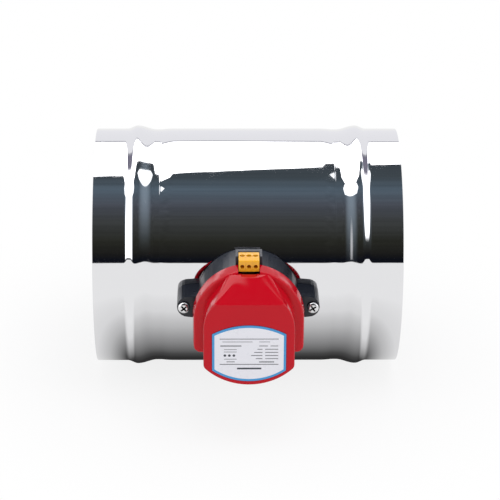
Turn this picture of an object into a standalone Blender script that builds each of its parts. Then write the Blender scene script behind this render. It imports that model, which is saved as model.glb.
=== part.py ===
"""Motorized round duct damper: a polished duct with rolled beads, a sealed butterfly blade on a
through shaft, and a rotary actuator with a synchronous motor, a gear train and two end switches.

Lengths are in metres. The duct lies along world X. The shaft crosses it along world Y, with the
actuator on the -Y side. Pieces on the shaft are made in the actuator's own frame: x is world X,
y is world Z (up) and z is the distance out from the duct axis towards the actuator.
"""

import math

import bmesh
import bpy
from mathutils import Matrix, Vector

# Duct
DUCT_RADIUS = 0.0750
DUCT_LENGTH = 0.1920
DUCT_WALL = 0.0008
BEAD_FROM_END = 0.0260
BEAD_HEIGHT = 0.0020
BEAD_HALF_WIDTH = 0.0078
VALLEY_FROM_BEAD = 0.0130
VALLEY_DEPTH = 0.0006
VALLEY_HALF_WIDTH = 0.0065
DUCT_STEPS = 40

# Fits
SEAT_GAP = 0.0003
RUNNING_GAP = 0.0003
BACKLASH = 0.00016

# Shaft and bushes
SHAFT_RADIUS = 0.0040
SHAFT_FLAT = 0.0030
BUSH_WALL = 0.0017
BUSH_FLANGE_RADIUS = 0.0090
BUSH_FLANGE_DEPTH = 0.0024
IDLE_BUSH_PROUD = 0.0040
IDLE_BUSH_END_WALL = 0.0020
CLIP_RADIUS = 0.0095
CLIP_THICKNESS = 0.0008

# Blade
BLADE_TRAVEL = math.radians(90.0)
SEAL_THICKNESS = 0.0016
SEAL_WALL_GAP = 0.0005
PLATE_INSET = 0.0050
PLATE_THICKNESS = 0.0008
RIVET_RADIUS = 0.0016
RIVET_HEAD_RADIUS = 0.0031
RIVET_HEAD_HEIGHT = 0.0013
RIVET_SPREAD = 0.54
SHAFT_RIVET_SPREAD = 0.47

# Actuator base. The plan of the actuator and of what it holds has 31 grid steps to this radius
BASE_RADIUS = 0.0310
GRID = BASE_RADIUS / 31.0
BASE_WALL = 0.0020
BASE_FLOOR = 0.0025
BASE_HEIGHT = 0.0290
SPIGOT_HEIGHT = 0.0024
COLLAR_RADIUS = 13.0 * GRID
EAR_RADIUS = 0.0067
EAR_REACH = 0.0059
EAR_ROOT_HALF_WIDTH = 0.0076
EAR_HEIGHT = 0.0185
MOUNT_SCREW_OUTWARD = 0.0025
MOUNT_SCREW_RADIUS = 0.00175
MOUNT_SCREW_HEAD_RADIUS = 0.00355
MOUNT_SCREW_HEAD_HEIGHT = 0.0024
MOUNT_SCREW_BITE = 0.0035

# Cover
COVER_WALL = 0.0018
SKIRT_OVERHANG = 0.0029
SKIRT_DRAFT = 0.0007
SKIRT_SIDE_LOW = -16.9 * GRID
SKIRT_CORNER = 5.0 * GRID
SKIRT_HEIGHT = 0.0093
SKIRT_FILLET = 0.0014
FRONT_HEIGHT = 0.0177
BODY_HALF_WIDTH = 27.6 * GRID
BODY_BOTTOM = -34.5 * GRID
BODY_BOTTOM_RADIUS = 38.0 * GRID
BODY_CORNER = 4.2 * GRID
BODY_TOP = 31.0 * GRID
BODY_TOP_CORNER = 7.0 * GRID
ARCH_HEIGHT = 2.0 * GRID
FLANK_ANGLE = math.radians(38.5)
FACE_DRAFT = 0.0003
CREASE_HEIGHT = 19.3 * GRID
BODY_FILLET = 0.0012

# Label
LABEL_HALF_WIDTH = 22.1 * GRID
LABEL_SIDE_TOP = 0.0
LABEL_SIDE_BOTTOM = -24.0 * GRID
LABEL_TOP = 5.8 * GRID
LABEL_BOTTOM = -31.2 * GRID
LABEL_THICKNESS = 0.0004
LABEL_RECESS = 0.0004

# Terminal block and circuit board
TERMINAL_WAYS = 3
TERMINAL_PITCH = 0.0040
TERMINAL_WIDTH = 0.0124
TERMINAL_HEIGHT = 0.0075
TERMINAL_DEPTH = 0.0123
TERMINAL_ROUNDING = 0.0022
TERMINAL_BOTTOM = 30.9 * GRID
TERMINAL_SCREW_RADIUS = 0.0011
TERMINAL_HOLE_RADIUS = 0.0013
TOWER_WALL = 0.0015
TOWER_ROOF = 0.0014
WIRE_NOTCH_DEPTH = 0.0013
WIRE_NOTCH_FLARE = 0.0010
BOARD_SINK = 0.0088
BOARD_THICKNESS = 0.0016
BOARD_BODY_HALF_WIDTH = 13.8 * GRID
BOARD_BODY_LOW = 17.5 * GRID
BOARD_BODY_HIGH = 24.0 * GRID
BOARD_POST_RADIUS = 0.0018
CAPACITOR_SIZE = (0.0120, 0.0050, 0.0088)
CAPACITOR_ROUNDING = 0.0004
RESISTOR_RADIUS = 0.0012
RESISTOR_LENGTH = 0.0070

# Cover screws
COVER_SCREW_X = 18.0 * GRID
COVER_SCREW_Y = 17.5 * GRID
COVER_BOSS_RADIUS = 3.2 * GRID
COVER_BOSS_REACH = 0.0040
COVER_SCREW_RADIUS = 0.00135
COVER_SCREW_HEAD_RADIUS = 0.0026
COVER_SCREW_HEAD_HEIGHT = 0.0018
COVER_SCREW_SINK = 0.0035
COVER_SCREW_BITE = 0.0090

# Cam and end switches
HUB_RADIUS = 0.0065
HUB_STANDOFF = 0.0040
HUB_SHAFT_SHARE = 0.52
HUB_TO_GEARBOX = 0.0055
CAM_HIGH = 0.0100
CAM_RISE = 0.0006
CAM_SETBACK = 0.0005
CAM_WIDTH = 0.0030
CAM_SPARE_TURN = math.radians(10.0)
SET_SCREW_RADIUS = 0.00115
PLUNGER_RADIUS = 0.0008
PLUNGER_LENGTH = 0.0044
PLUNGER_PROUD = 0.0010
SWITCH_SIZE = (0.0065, 0.0128, 0.0058)
SWITCH_POST_RADIUS = 0.0009
SWITCH_POST_SPACING = 0.0065
SWITCH_POST_BACK = 0.0050

# Gearbox
GEAR_MODULE = 0.6 * GRID
PINION_TEETH = 10
WHEEL_TEETH = 30
OUTPUT_TEETH = 36
CENTRE_EASE = 0.00012
PRESSURE_ANGLE = math.radians(20.0)
ADDENDUM = 0.85
DEDENDUM = 1.25
PLATE_STEEL = 0.0012
GEARBOX_SINK = 0.0060
LAYER_DEPTH = 0.0030
LAYER_STEP = 0.0034
LAYER_CLEARANCE = 0.0004
REAR_PLATE_RADIUS = 24.0 * GRID
REAR_PLATE_CENTRE_Y = -4.0 * GRID
AXLE_RADIUS = 0.0010
OUTPUT_SHAFT_RADIUS = 0.0030
OUTPUT_SHAFT_FLAT = 0.0022
OUTPUT_PIVOT_RADIUS = 0.0012
POST_RADIUS = 0.0018
POST_PIN_RADIUS = 0.0010
POST_GRID_PLACES = ((-20.5, -1.0), (2.0, -25.0), (7.0, 12.5))
MOTOR_SCREW_X = 25.6 * GRID
MOTOR_SCREW_Y = 3.0 * GRID
MOTOR_SCREW_RADIUS = 0.00125
MOTOR_SCREW_HEAD_RADIUS = 0.0023
MOTOR_SCREW_HEAD_HEIGHT = 0.0017
MOTOR_SCREW_BITE = 0.0080
MOTOR_TAB_RADIUS = 2.8 * GRID
MOTOR_BOSS_RADIUS = 3.4 * GRID

# Motor
MOTOR_Y = -7.5 * GRID
MOTOR_CLEARANCE = 0.0004
FIRST_WHEEL_BEARING = math.radians(-20.0)
CAN_WALL = 0.0008
FRONT_PLATE_INSET = 0.0002
ROTOR_RADIUS = 9.2 * GRID
ROTOR_SHAFT_RADIUS = 0.0010
POLE_GAP = 0.0006
POLE_THICKNESS = 0.0009
POLE_SLOTS = 6
POLE_SLOT_WIDTH = 0.0016
BOBBIN_CLEARANCE = 1.1 * GRID
BOBBIN_WALL = 0.0012
WINDING_INSET = 1.1 * GRID

# Worked out from the sizes above
BORE_RADIUS = DUCT_RADIUS - DUCT_WALL
PLATE_RADIUS = DUCT_RADIUS - PLATE_INSET
RIVET_OFFSET = RIVET_SPREAD * PLATE_RADIUS
SHAFT_RIVET_OFFSET = SHAFT_RIVET_SPREAD * PLATE_RADIUS
BUSH_RADIUS = SHAFT_RADIUS + RUNNING_GAP + BUSH_WALL
SEAL_RADIUS = BORE_RADIUS * math.cos(math.pi / DUCT_STEPS) - SEAL_WALL_GAP
BUSH_INNER_END = BORE_RADIUS - BUSH_FLANGE_DEPTH
BASE_BOTTOM = DUCT_RADIUS + SEAT_GAP
FLOOR_TOP = BASE_BOTTOM + BASE_FLOOR
BASE_RIM = DUCT_RADIUS + BASE_HEIGHT
CAVITY_RADIUS = BASE_RADIUS - BASE_WALL
EAR_FACE = DUCT_RADIUS + EAR_HEIGHT
EAR_CENTRE = BASE_RADIUS + EAR_REACH
MOUNT_SCREW_X = EAR_CENTRE + MOUNT_SCREW_OUTWARD
SKIRT_RADIUS = BASE_RADIUS + SKIRT_OVERHANG
SHOULDER = BASE_RIM + SKIRT_HEIGHT
FACE = SHOULDER + FRONT_HEIGHT
COVER_BOSS_START = BASE_RIM - COVER_BOSS_REACH
BOARD_REAR = BASE_RIM - BOARD_SINK
BOARD_FRONT = BOARD_REAR + BOARD_THICKNESS
TERMINAL_REAR = BOARD_FRONT + SEAT_GAP
TERMINAL_TOP = TERMINAL_BOTTOM + TERMINAL_HEIGHT
POCKET_HALF_WIDTH = TERMINAL_WIDTH / 2 + SEAT_GAP
TOWER_TOP = TERMINAL_TOP + SEAT_GAP
REAR_PLATE = BASE_RIM - GEARBOX_SINK
HUB_REAR = DUCT_RADIUS + HUB_STANDOFF
HUB_FRONT = REAR_PLATE - HUB_TO_GEARBOX
HUB_SPLIT = HUB_REAR + HUB_SHAFT_SHARE * (HUB_FRONT - HUB_REAR)
CAM_REAR = HUB_REAR + CAM_SETBACK
CAM_FRONT = CAM_REAR + CAM_WIDTH
SWITCH_REAR = FLOOR_TOP + SEAT_GAP
PLUNGER_LEVEL = (CAM_REAR + CAM_FRONT) / 2
SWITCH_FACE = CAM_HIGH + RUNNING_GAP + PLUNGER_PROUD
CAM_LEAD = CAM_RISE / BLADE_TRAVEL
LAYER_C = REAR_PLATE + PLATE_STEEL + LAYER_CLEARANCE
LAYER_B = LAYER_C + LAYER_STEP
LAYER_A = LAYER_B + LAYER_STEP
FRONT_PLATE = LAYER_A + LAYER_STEP
CAN_REAR = FRONT_PLATE + PLATE_STEEL + SEAT_GAP
CAN_FRONT = FACE - COVER_WALL - SEAT_GAP
CAN_RADIUS = MOTOR_Y - BODY_BOTTOM - COVER_WALL - FACE_DRAFT - MOTOR_CLEARANCE
FRONT_PLATE_RADIUS = CAN_RADIUS - FRONT_PLATE_INSET
BOBBIN_RADIUS = CAN_RADIUS - CAN_WALL - BOBBIN_CLEARANCE
WINDING_RADIUS = BOBBIN_RADIUS - WINDING_INSET
POST_PLACES = [(x * GRID, y * GRID) for x, y in POST_GRID_PLACES]
POLE_INNER = ROTOR_RADIUS + POLE_GAP
POLE_OUTER = POLE_INNER + POLE_THICKNESS
BOBBIN_BORE = POLE_OUTER + SEAT_GAP
BOBBIN_REAR = CAN_REAR + SEAT_GAP
BOBBIN_FRONT = CAN_FRONT - CAN_WALL - SEAT_GAP

PARTS = None
CUTTERS = None


def clear_scene():
    for old in list(bpy.data.objects):
        bpy.data.objects.remove(old, do_unlink=True)


def add_collection(name):
    collection = bpy.data.collections.new(name)
    bpy.context.scene.collection.children.link(collection)
    return collection


def add_empty(name, parent=None, location=(0.0, 0.0, 0.0), rotation=(0.0, 0.0, 0.0)):
    empty = bpy.data.objects.new(name, None)
    empty.empty_display_size = DUCT_RADIUS / 4
    empty.parent = parent
    empty.location = location
    empty.rotation_euler = rotation
    PARTS.objects.link(empty)
    return empty


def finish(colour, roughness, metallic=0.0):
    """A plain surface finish of one colour."""
    name = "finish_%02x%02x%02x_%d" % (*(int(255 * c) for c in colour), round(100 * roughness))
    made = bpy.data.materials.get(name)
    if made:
        return made
    made = bpy.data.materials.new(name)
    made.use_nodes = True
    shader = made.node_tree.nodes["Principled BSDF"]
    shader.inputs["Base Color"].default_value = (*colour, 1.0)
    shader.inputs["Roughness"].default_value = roughness
    shader.inputs["Metallic"].default_value = metallic
    return made


def stainless():
    return finish((0.62, 0.63, 0.65), 0.16, 1.0)


def bright_steel():
    return finish((0.70, 0.71, 0.73), 0.25, 1.0)


def plated_steel():
    return finish((0.58, 0.58, 0.56), 0.35, 1.0)


def brass():
    return finish((0.78, 0.58, 0.26), 0.30, 1.0)


def copper():
    return finish((0.66, 0.28, 0.13), 0.38, 1.0)


def black_plastic():
    return finish((0.012, 0.014, 0.020), 0.38)


def red_plastic():
    return finish((0.53, 0.006, 0.016), 0.24)


def terminal_plastic():
    return finish((0.90, 0.48, 0.05), 0.42)


def natural_nylon():
    return finish((0.78, 0.76, 0.70), 0.50)


def rubber():
    return finish((0.020, 0.020, 0.022), 0.75)


def magnet_ceramic():
    return finish((0.06, 0.055, 0.055), 0.60)


def board_laminate():
    return finish((0.05, 0.22, 0.10), 0.45)


def label_film():
    return finish((0.82, 0.83, 0.86), 0.35)


def add_piece(name, mesh, frame, location=(0.0, 0.0, 0.0), rotation=(0.0, 0.0, 0.0)):
    piece = bpy.data.objects.new(name, mesh)
    piece.parent = frame
    piece.location = location
    piece.rotation_euler = rotation
    PARTS.objects.link(piece)
    return piece


def mesh_from(name, shape):
    """A mesh made of the bmesh, with its round sides smooth and its edges sharp."""
    bmesh.ops.recalc_face_normals(shape, faces=shape.faces)
    mesh = bpy.data.meshes.new(name)
    shape.to_mesh(mesh)
    shape.free()
    mesh.shade_smooth()
    mesh.set_sharp_from_angle(angle=math.radians(32.0))
    return mesh


def rod(name, frame, start, end, radius, steps=24, end_radius=None):
    """A cylinder, or a cone with end_radius, between two points of the frame."""
    along = Vector(end) - Vector(start)
    shape = bmesh.new()
    bmesh.ops.create_cone(
        shape,
        cap_ends=True,
        segments=steps,
        radius1=radius,
        radius2=radius if end_radius is None else end_radius,
        depth=along.length,
    )
    turn = Vector((0.0, 0.0, 1.0)).rotation_difference(along).to_matrix().to_4x4()
    middle = Matrix.Translation((Vector(start) + Vector(end)) / 2)
    bmesh.ops.transform(shape, matrix=middle @ turn, verts=shape.verts)
    return add_piece(name, mesh_from(name, shape), frame)


def block(name, frame, x_range, y_range, z_range):
    """A box between two values on each axis of the frame."""
    ranges = (x_range, y_range, z_range)
    size = [high - low for low, high in ranges]
    middle = [(high + low) / 2 for low, high in ranges]
    shape = bmesh.new()
    bmesh.ops.create_cube(shape, size=1.0)
    bmesh.ops.scale(shape, vec=size, verts=shape.verts)
    bmesh.ops.translate(shape, vec=middle, verts=shape.verts)
    return add_piece(name, mesh_from(name, shape), frame)


def turned(name, frame, profile, steps=24, location=(0.0, 0.0, 0.0), rotation=(0.0, 0.0, 0.0)):
    """A profile of (radius, height), from top to bottom on its outer side, turned about z."""
    shape = bmesh.new()
    points = [shape.verts.new((radius, 0.0, height)) for radius, height in profile]
    for first, second in zip(points, points[1:]):
        shape.edges.new((first, second))
    mesh = bpy.data.meshes.new(name)
    shape.to_mesh(mesh)
    shape.free()
    piece = add_piece(name, mesh, frame, location, rotation)
    turn = piece.modifiers.new("turn", "SCREW")
    turn.steps = steps
    turn.render_steps = steps
    turn.use_merge_vertices = True
    turn.merge_threshold = 0.00001
    turn.use_smooth_shade = True
    return piece


def extruded(name, frame, outlines, z_range, location=(0.0, 0.0, 0.0)):
    """A flat plate of the first outline, with the other outlines as holes in it."""
    curve = bpy.data.curves.new(name, "CURVE")
    curve.dimensions = "2D"
    curve.fill_mode = "BOTH"
    curve.extrude = (z_range[1] - z_range[0]) / 2
    for outline in outlines:
        spline = curve.splines.new("POLY")
        spline.points.add(len(outline) - 1)
        for point, (x, y) in zip(spline.points, outline):
            point.co = (x, y, 0.0, 1.0)
        spline.use_cyclic_u = True
    flat = bpy.data.objects.new(name + "_outline", curve)
    PARTS.objects.link(flat)
    bpy.context.view_layer.update()
    evaluated = flat.evaluated_get(bpy.context.evaluated_depsgraph_get())
    mesh = bpy.data.meshes.new_from_object(evaluated)
    shape = bmesh.new()
    shape.from_mesh(mesh)
    bmesh.ops.remove_doubles(shape, verts=shape.verts, dist=0.000001)
    bmesh.ops.translate(shape, vec=(0.0, 0.0, sum(z_range) / 2), verts=shape.verts)
    matrix = flat.matrix_world.copy()
    bpy.data.objects.remove(flat, do_unlink=True)
    bpy.data.meshes.remove(mesh)
    piece = add_piece(name, mesh_from(name, shape), frame)
    piece.matrix_local = matrix
    piece.location = location
    return piece


def loft(name, frame, sections):
    """A closed body through outlines of equal counts, each with its own height."""
    shape = bmesh.new()
    rings = []
    for outline, height in sections:
        rings.append([shape.verts.new((x, y, height)) for x, y in outline])
    count = len(rings[0])
    for lower, upper in zip(rings, rings[1:]):
        for i in range(count):
            j = (i + 1) % count
            shape.faces.new((lower[i], lower[j], upper[j], upper[i]))
    shape.faces.new(list(reversed(rings[0])))
    shape.faces.new(rings[-1])
    return add_piece(name, mesh_from(name, shape), frame)


def hull(name, frame, sections):
    """The convex body round some outlines, each with its own height, its flat faces left whole."""
    shape = bmesh.new()
    for outline, height in sections:
        for x, y in outline:
            shape.verts.new((x, y, height))
    made = bmesh.ops.convex_hull(shape, input=shape.verts)
    inside = [item for item in made["geom_interior"] if isinstance(item, bmesh.types.BMVert)]
    bmesh.ops.delete(shape, geom=inside, context="VERTS")
    bmesh.ops.dissolve_limit(shape, angle_limit=0.003, verts=shape.verts, edges=shape.edges)
    return add_piece(name, mesh_from(name, shape), frame)


def hide_helper(helper):
    """Takes a piece that only cuts or joins another out of the finished object."""
    for collection in list(helper.users_collection):
        collection.objects.unlink(helper)
    CUTTERS.objects.link(helper)
    helper.hide_render = True
    helper.display_type = "WIRE"


def combine(piece, other, operation):
    step = piece.modifiers.new(other.name, "BOOLEAN")
    step.operation = operation
    step.solver = "EXACT"
    step.object = other
    hide_helper(other)


def cut(piece, *cutters):
    for cutter in cutters:
        combine(piece, cutter, "DIFFERENCE")


def join(piece, *others):
    for other in others:
        combine(piece, other, "UNION")


def keep_inside(piece, envelope):
    combine(piece, envelope, "INTERSECT")


def round_edges(piece, width, segments=2, angle=40.0):
    edge = piece.modifiers.new("round_edges", "BEVEL")
    edge.width = width
    edge.segments = segments
    edge.limit_method = "ANGLE"
    edge.angle_limit = math.radians(angle)
    edge.use_clamp_overlap = True


def paint(piece, material):
    piece.data.materials.clear()
    piece.data.materials.append(material)
    return piece


def arc(centre, radius, start, end, steps):
    """Points on a circle from one angle to another, both ends included."""
    points = []
    for i in range(steps + 1):
        angle = start + (end - start) * i / steps
        points.append((centre[0] + radius * math.cos(angle), centre[1] + radius * math.sin(angle)))
    return points


def circle(centre, radius, steps):
    return arc(centre, radius, 0.0, 2 * math.pi * (steps - 1) / steps, steps - 1)


def mirrored(right_half):
    """The closed outline of a right half that runs from its lowest point to its highest."""
    left_half = [(-x, y) for x, y in reversed(right_half) if x > 1e-9]
    return right_half + left_half


def polar(radius, angle, centre=(0.0, 0.0)):
    return (centre[0] + radius * math.cos(angle), centre[1] + radius * math.sin(angle))


# Duct


def bump(distance, half_width):
    """A smooth rise from 0 at the edge of the width to 1 at its middle."""
    if abs(distance) >= half_width:
        return 0.0
    return 0.5 + 0.5 * math.cos(math.pi * distance / half_width)


def duct_radius_at(x):
    from_bead = abs(x) - (DUCT_LENGTH / 2 - BEAD_FROM_END)
    raised = BEAD_HEIGHT * bump(from_bead, BEAD_HALF_WIDTH)
    sunk = VALLEY_DEPTH * bump(from_bead + VALLEY_FROM_BEAD, VALLEY_HALF_WIDTH)
    return DUCT_RADIUS + raised - sunk


def duct_stations():
    """Places along the right half of the duct where its profile has a point."""
    bead = DUCT_LENGTH / 2 - BEAD_FROM_END
    valley = bead - VALLEY_FROM_BEAD
    stations = [DUCT_LENGTH / 2]
    stations += [bead + BEAD_HALF_WIDTH * share for share in (1.0, 0.62, 0.3, 0.0, -0.3, -0.62)]
    stations += [valley + VALLEY_HALF_WIDTH * share for share in (0.8, 0.0, -1.0)]
    return stations


def make_duct(duct_frame, shaft_frame):
    right = duct_stations()
    profile = [(duct_radius_at(x), x) for x in right + [-x for x in reversed(right)]]
    tube = turned("duct_tube", duct_frame, profile, DUCT_STEPS)
    wall = tube.modifiers.new("wall", "SOLIDIFY")
    wall.thickness = DUCT_WALL
    wall.offset = -1.0
    hole = BUSH_RADIUS + SEAT_GAP
    through = DUCT_RADIUS + BEAD_HEIGHT
    cut(tube, rod("shaft_bore", shaft_frame, (0, 0, -through), (0, 0, through), hole))
    screw_hole = MOUNT_SCREW_RADIUS + SEAT_GAP
    for side in (-1, 1):
        x = side * MOUNT_SCREW_X
        near = (x, 0, BORE_RADIUS - BUSH_FLANGE_DEPTH)
        cut(tube, rod("duct_screw_hole", shaft_frame, near, (x, 0, through), screw_hole, 12))
    paint(tube, stainless())


def bore_envelope(frame):
    """The inside of the duct, less the seating gap, near the shaft."""
    reach = 2 * BUSH_FLANGE_RADIUS
    return rod("bore_envelope", frame, (-reach, 0, 0), (reach, 0, 0), BORE_RADIUS - SEAT_GAP, 60)


def make_bush(name, frame, side, barrel_end, bore_end):
    """A flanged bush whose flange lies against the duct's inner wall."""
    start = side * BUSH_INNER_END
    bush = rod(name, frame, (0, 0, start), (0, 0, side * DUCT_RADIUS), BUSH_FLANGE_RADIUS)
    keep_inside(bush, bore_envelope(frame))
    join(bush, rod(name + "_barrel", frame, (0, 0, start), (0, 0, barrel_end), BUSH_RADIUS))
    below = start - side * SEAT_GAP
    bore = SHAFT_RADIUS + RUNNING_GAP
    cut(bush, rod(name + "_bore", frame, (0, 0, below), (0, 0, bore_end), bore))
    return paint(bush, natural_nylon())


def make_bushes(frame):
    drive_end = FLOOR_TOP - SEAT_GAP
    make_bush("drive_bush", frame, 1, drive_end, drive_end + SEAT_GAP)
    idle_end = -(DUCT_RADIUS + IDLE_BUSH_PROUD)
    make_bush("idle_bush", frame, -1, idle_end, idle_end + IDLE_BUSH_END_WALL)
    outer = circle((0, 0), CLIP_RADIUS, 24)
    inner = circle((0, 0), BUSH_RADIUS + SEAT_GAP, 16)
    clip_top = -(DUCT_RADIUS + SEAT_GAP)
    clip = extruded("idle_clip", frame, [outer, inner], (clip_top - CLIP_THICKNESS, clip_top))
    paint(clip, plated_steel())


# Blade


def d_outline(radius, flat, steps=14):
    """A circle with one flat side across its top."""
    side = math.asin(flat / radius)
    return arc((0, 0), radius, math.pi - side, 2 * math.pi + side, steps)


def make_blade_shaft(frame):
    low = -(DUCT_RADIUS + IDLE_BUSH_PROUD - IDLE_BUSH_END_WALL - RUNNING_GAP)
    high = HUB_SPLIT - SEAT_GAP
    shaft = rod("blade_shaft", frame, (0, 0, low), (0, 0, high), SHAFT_RADIUS)
    reach = 2 * SHAFT_RADIUS
    flat = block("shaft_flat", frame, (-reach, reach), (SHAFT_FLAT, reach), (HUB_REAR, high + reach))
    cut(shaft, flat)
    hole = RIVET_RADIUS + SEAT_GAP
    for z in (-SHAFT_RIVET_OFFSET, SHAFT_RIVET_OFFSET):
        cut(shaft, rod("shaft_rivet_hole", frame, (-reach, 0, z), (reach, 0, z), hole, 8))
    paint(shaft, bright_steel())


def plate_rivet_places():
    """(y, z) of each rivet through the plates and the seal."""
    return [(y, z) for y in (-RIVET_OFFSET, RIVET_OFFSET) for z in (-RIVET_OFFSET, RIVET_OFFSET)]


def plate_inner_face():
    return SEAL_THICKNESS / 2 + SEAT_GAP


def channel_outer_radius():
    return SHAFT_RADIUS + SEAT_GAP + PLATE_THICKNESS


def cut_rivet_holes(piece, frame, places):
    reach = 2 * channel_outer_radius()
    hole = RIVET_RADIUS + SEAT_GAP
    for y, z in places:
        cut(piece, rod("rivet_hole", frame, (-reach, y, z), (reach, y, z), hole, 8))


def make_blade_plate(name, frame, side):
    """A pressed disc with a half-round channel over the shaft."""
    inner = side * plate_inner_face()
    outer = inner + side * PLATE_THICKNESS
    plate = rod(name, frame, (inner, 0, 0), (outer, 0, 0), PLATE_RADIUS, 40)
    channel_end = BUSH_INNER_END - PLATE_THICKNESS
    start, end = (0, 0, -channel_end), (0, 0, channel_end)
    join(plate, rod("shaft_channel", frame, start, end, channel_outer_radius(), 16))
    start, end = (0, 0, -DUCT_RADIUS), (0, 0, DUCT_RADIUS)
    cut(plate, rod("channel_bore", frame, start, end, SHAFT_RADIUS + SEAT_GAP, 16))
    beyond = (-side * DUCT_RADIUS, inner)
    square = (-DUCT_RADIUS, DUCT_RADIUS)
    cut(plate, block("other_side", frame, (min(beyond), max(beyond)), square, square))
    ends = [(0.0, -SHAFT_RIVET_OFFSET), (0.0, SHAFT_RIVET_OFFSET)]
    cut_rivet_holes(plate, frame, plate_rivet_places() + ends)
    paint(plate, stainless())


def make_seal(name, frame, side):
    """One half of the rubber disc, cut away beside the shaft and round the bushes."""
    half = SEAL_THICKNESS / 2
    seal = rod(name, frame, (-half, 0, 0), (half, 0, 0), SEAL_RADIUS, 48)
    edge = side * (SHAFT_RADIUS + SEAT_GAP)
    removed = sorted((edge, -side * 2 * SEAL_RADIUS))
    reach = (-2 * SEAL_RADIUS, 2 * SEAL_RADIUS)
    cut(seal, block("seal_half", frame, (-DUCT_RADIUS, DUCT_RADIUS), removed, reach))
    clear = BUSH_FLANGE_RADIUS + RUNNING_GAP
    for end in (-1, 1):
        start = (0, 0, end * (BUSH_INNER_END - RUNNING_GAP))
        cut(seal, rod("bush_relief", frame, start, (0, 0, end * 2 * SEAL_RADIUS), clear))
    places = [(y, z) for y, z in plate_rivet_places() if y * side > 0]
    cut_rivet_holes(seal, frame, places)
    paint(seal, rubber())


def make_rivet(name, frame, y, z, seat):
    """A rivet along x with a domed head on each side, seated at +-seat."""
    head = seat + SEAT_GAP
    top = head + RIVET_HEAD_HEIGHT
    half = [
        (0.0, top),
        (0.6 * RIVET_HEAD_RADIUS, head + 0.85 * RIVET_HEAD_HEIGHT),
        (RIVET_HEAD_RADIUS, head),
        (RIVET_RADIUS, head),
    ]
    profile = half + [(radius, -height) for radius, height in reversed(half)]
    rivet = turned(name, frame, profile, 10, (0, y, z), (0, math.pi / 2, 0))
    paint(rivet, bright_steel())


def make_blade(frame):
    make_blade_shaft(frame)
    make_blade_plate("blade_plate_right", frame, 1)
    make_blade_plate("blade_plate_left", frame, -1)
    make_seal("blade_seal_upper", frame, 1)
    make_seal("blade_seal_lower", frame, -1)
    seat = plate_inner_face() + PLATE_THICKNESS
    for number, (y, z) in enumerate(plate_rivet_places(), 1):
        make_rivet("blade_rivet_%d" % number, frame, y, z, seat)
    for number, z in enumerate((-SHAFT_RIVET_OFFSET, SHAFT_RIVET_OFFSET), 1):
        make_rivet("shaft_rivet_%d" % number, frame, 0.0, z, channel_outer_radius())


# Cam and end switches


def cam_radius_at(angle):
    """Two ramps of steady rise, a quarter turn and a little more each, joined by two dwells."""
    turn = math.atan2(math.sin(angle), math.cos(angle))
    first = min(max(turn, -BLADE_TRAVEL - CAM_SPARE_TURN), CAM_SPARE_TURN)
    if -BLADE_TRAVEL - CAM_SPARE_TURN <= turn <= BLADE_TRAVEL - CAM_SPARE_TURN:
        return CAM_HIGH + CAM_LEAD * first
    past = math.pi - (turn % (2 * math.pi))
    second = min(max(past, -CAM_SPARE_TURN), BLADE_TRAVEL + CAM_SPARE_TURN)
    return CAM_HIGH - CAM_RISE + CAM_LEAD * second


def make_cam_hub(frame):
    hub = rod("cam_hub", frame, (0, 0, HUB_REAR), (0, 0, HUB_FRONT), HUB_RADIUS, 24)
    steps = 32
    angles = [2 * math.pi * i / steps for i in range(steps)]
    outline = [polar(cam_radius_at(angle), angle) for angle in angles]
    join(hub, extruded("end_cam", frame, [outline], (CAM_REAR, CAM_FRONT)))
    shaft_bore = d_outline(SHAFT_RADIUS + SEAT_GAP, SHAFT_FLAT + SEAT_GAP)
    output_bore = d_outline(OUTPUT_SHAFT_RADIUS + SEAT_GAP, OUTPUT_SHAFT_FLAT + SEAT_GAP)
    cut(hub, extruded("hub_shaft_bore", frame, [shaft_bore], (HUB_REAR - HUB_RADIUS, HUB_SPLIT)))
    front = HUB_FRONT + HUB_RADIUS
    cut(hub, extruded("hub_output_bore", frame, [output_bore], (HUB_SPLIT - SEAT_GAP, front)))
    level = (HUB_SPLIT + HUB_FRONT) / 2
    start = (0, OUTPUT_SHAFT_FLAT, level)
    end = (0, 2 * HUB_RADIUS, level)
    cut(hub, rod("set_screw_hole", frame, start, end, SET_SCREW_RADIUS + SEAT_GAP, 12))
    paint(hub, natural_nylon())
    start = (0, OUTPUT_SHAFT_FLAT + SEAT_GAP, level)
    end = (0, HUB_RADIUS - SEAT_GAP, level)
    paint(rod("hub_set_screw", frame, start, end, SET_SCREW_RADIUS, 12), plated_steel())


def switch_level_range():
    return (SWITCH_REAR, SWITCH_REAR + SWITCH_SIZE[2])


def switch_post_places(side):
    x = side * (SWITCH_FACE + SWITCH_POST_BACK)
    return [(x, y) for y in (-SWITCH_POST_SPACING / 2, SWITCH_POST_SPACING / 2)]


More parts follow.
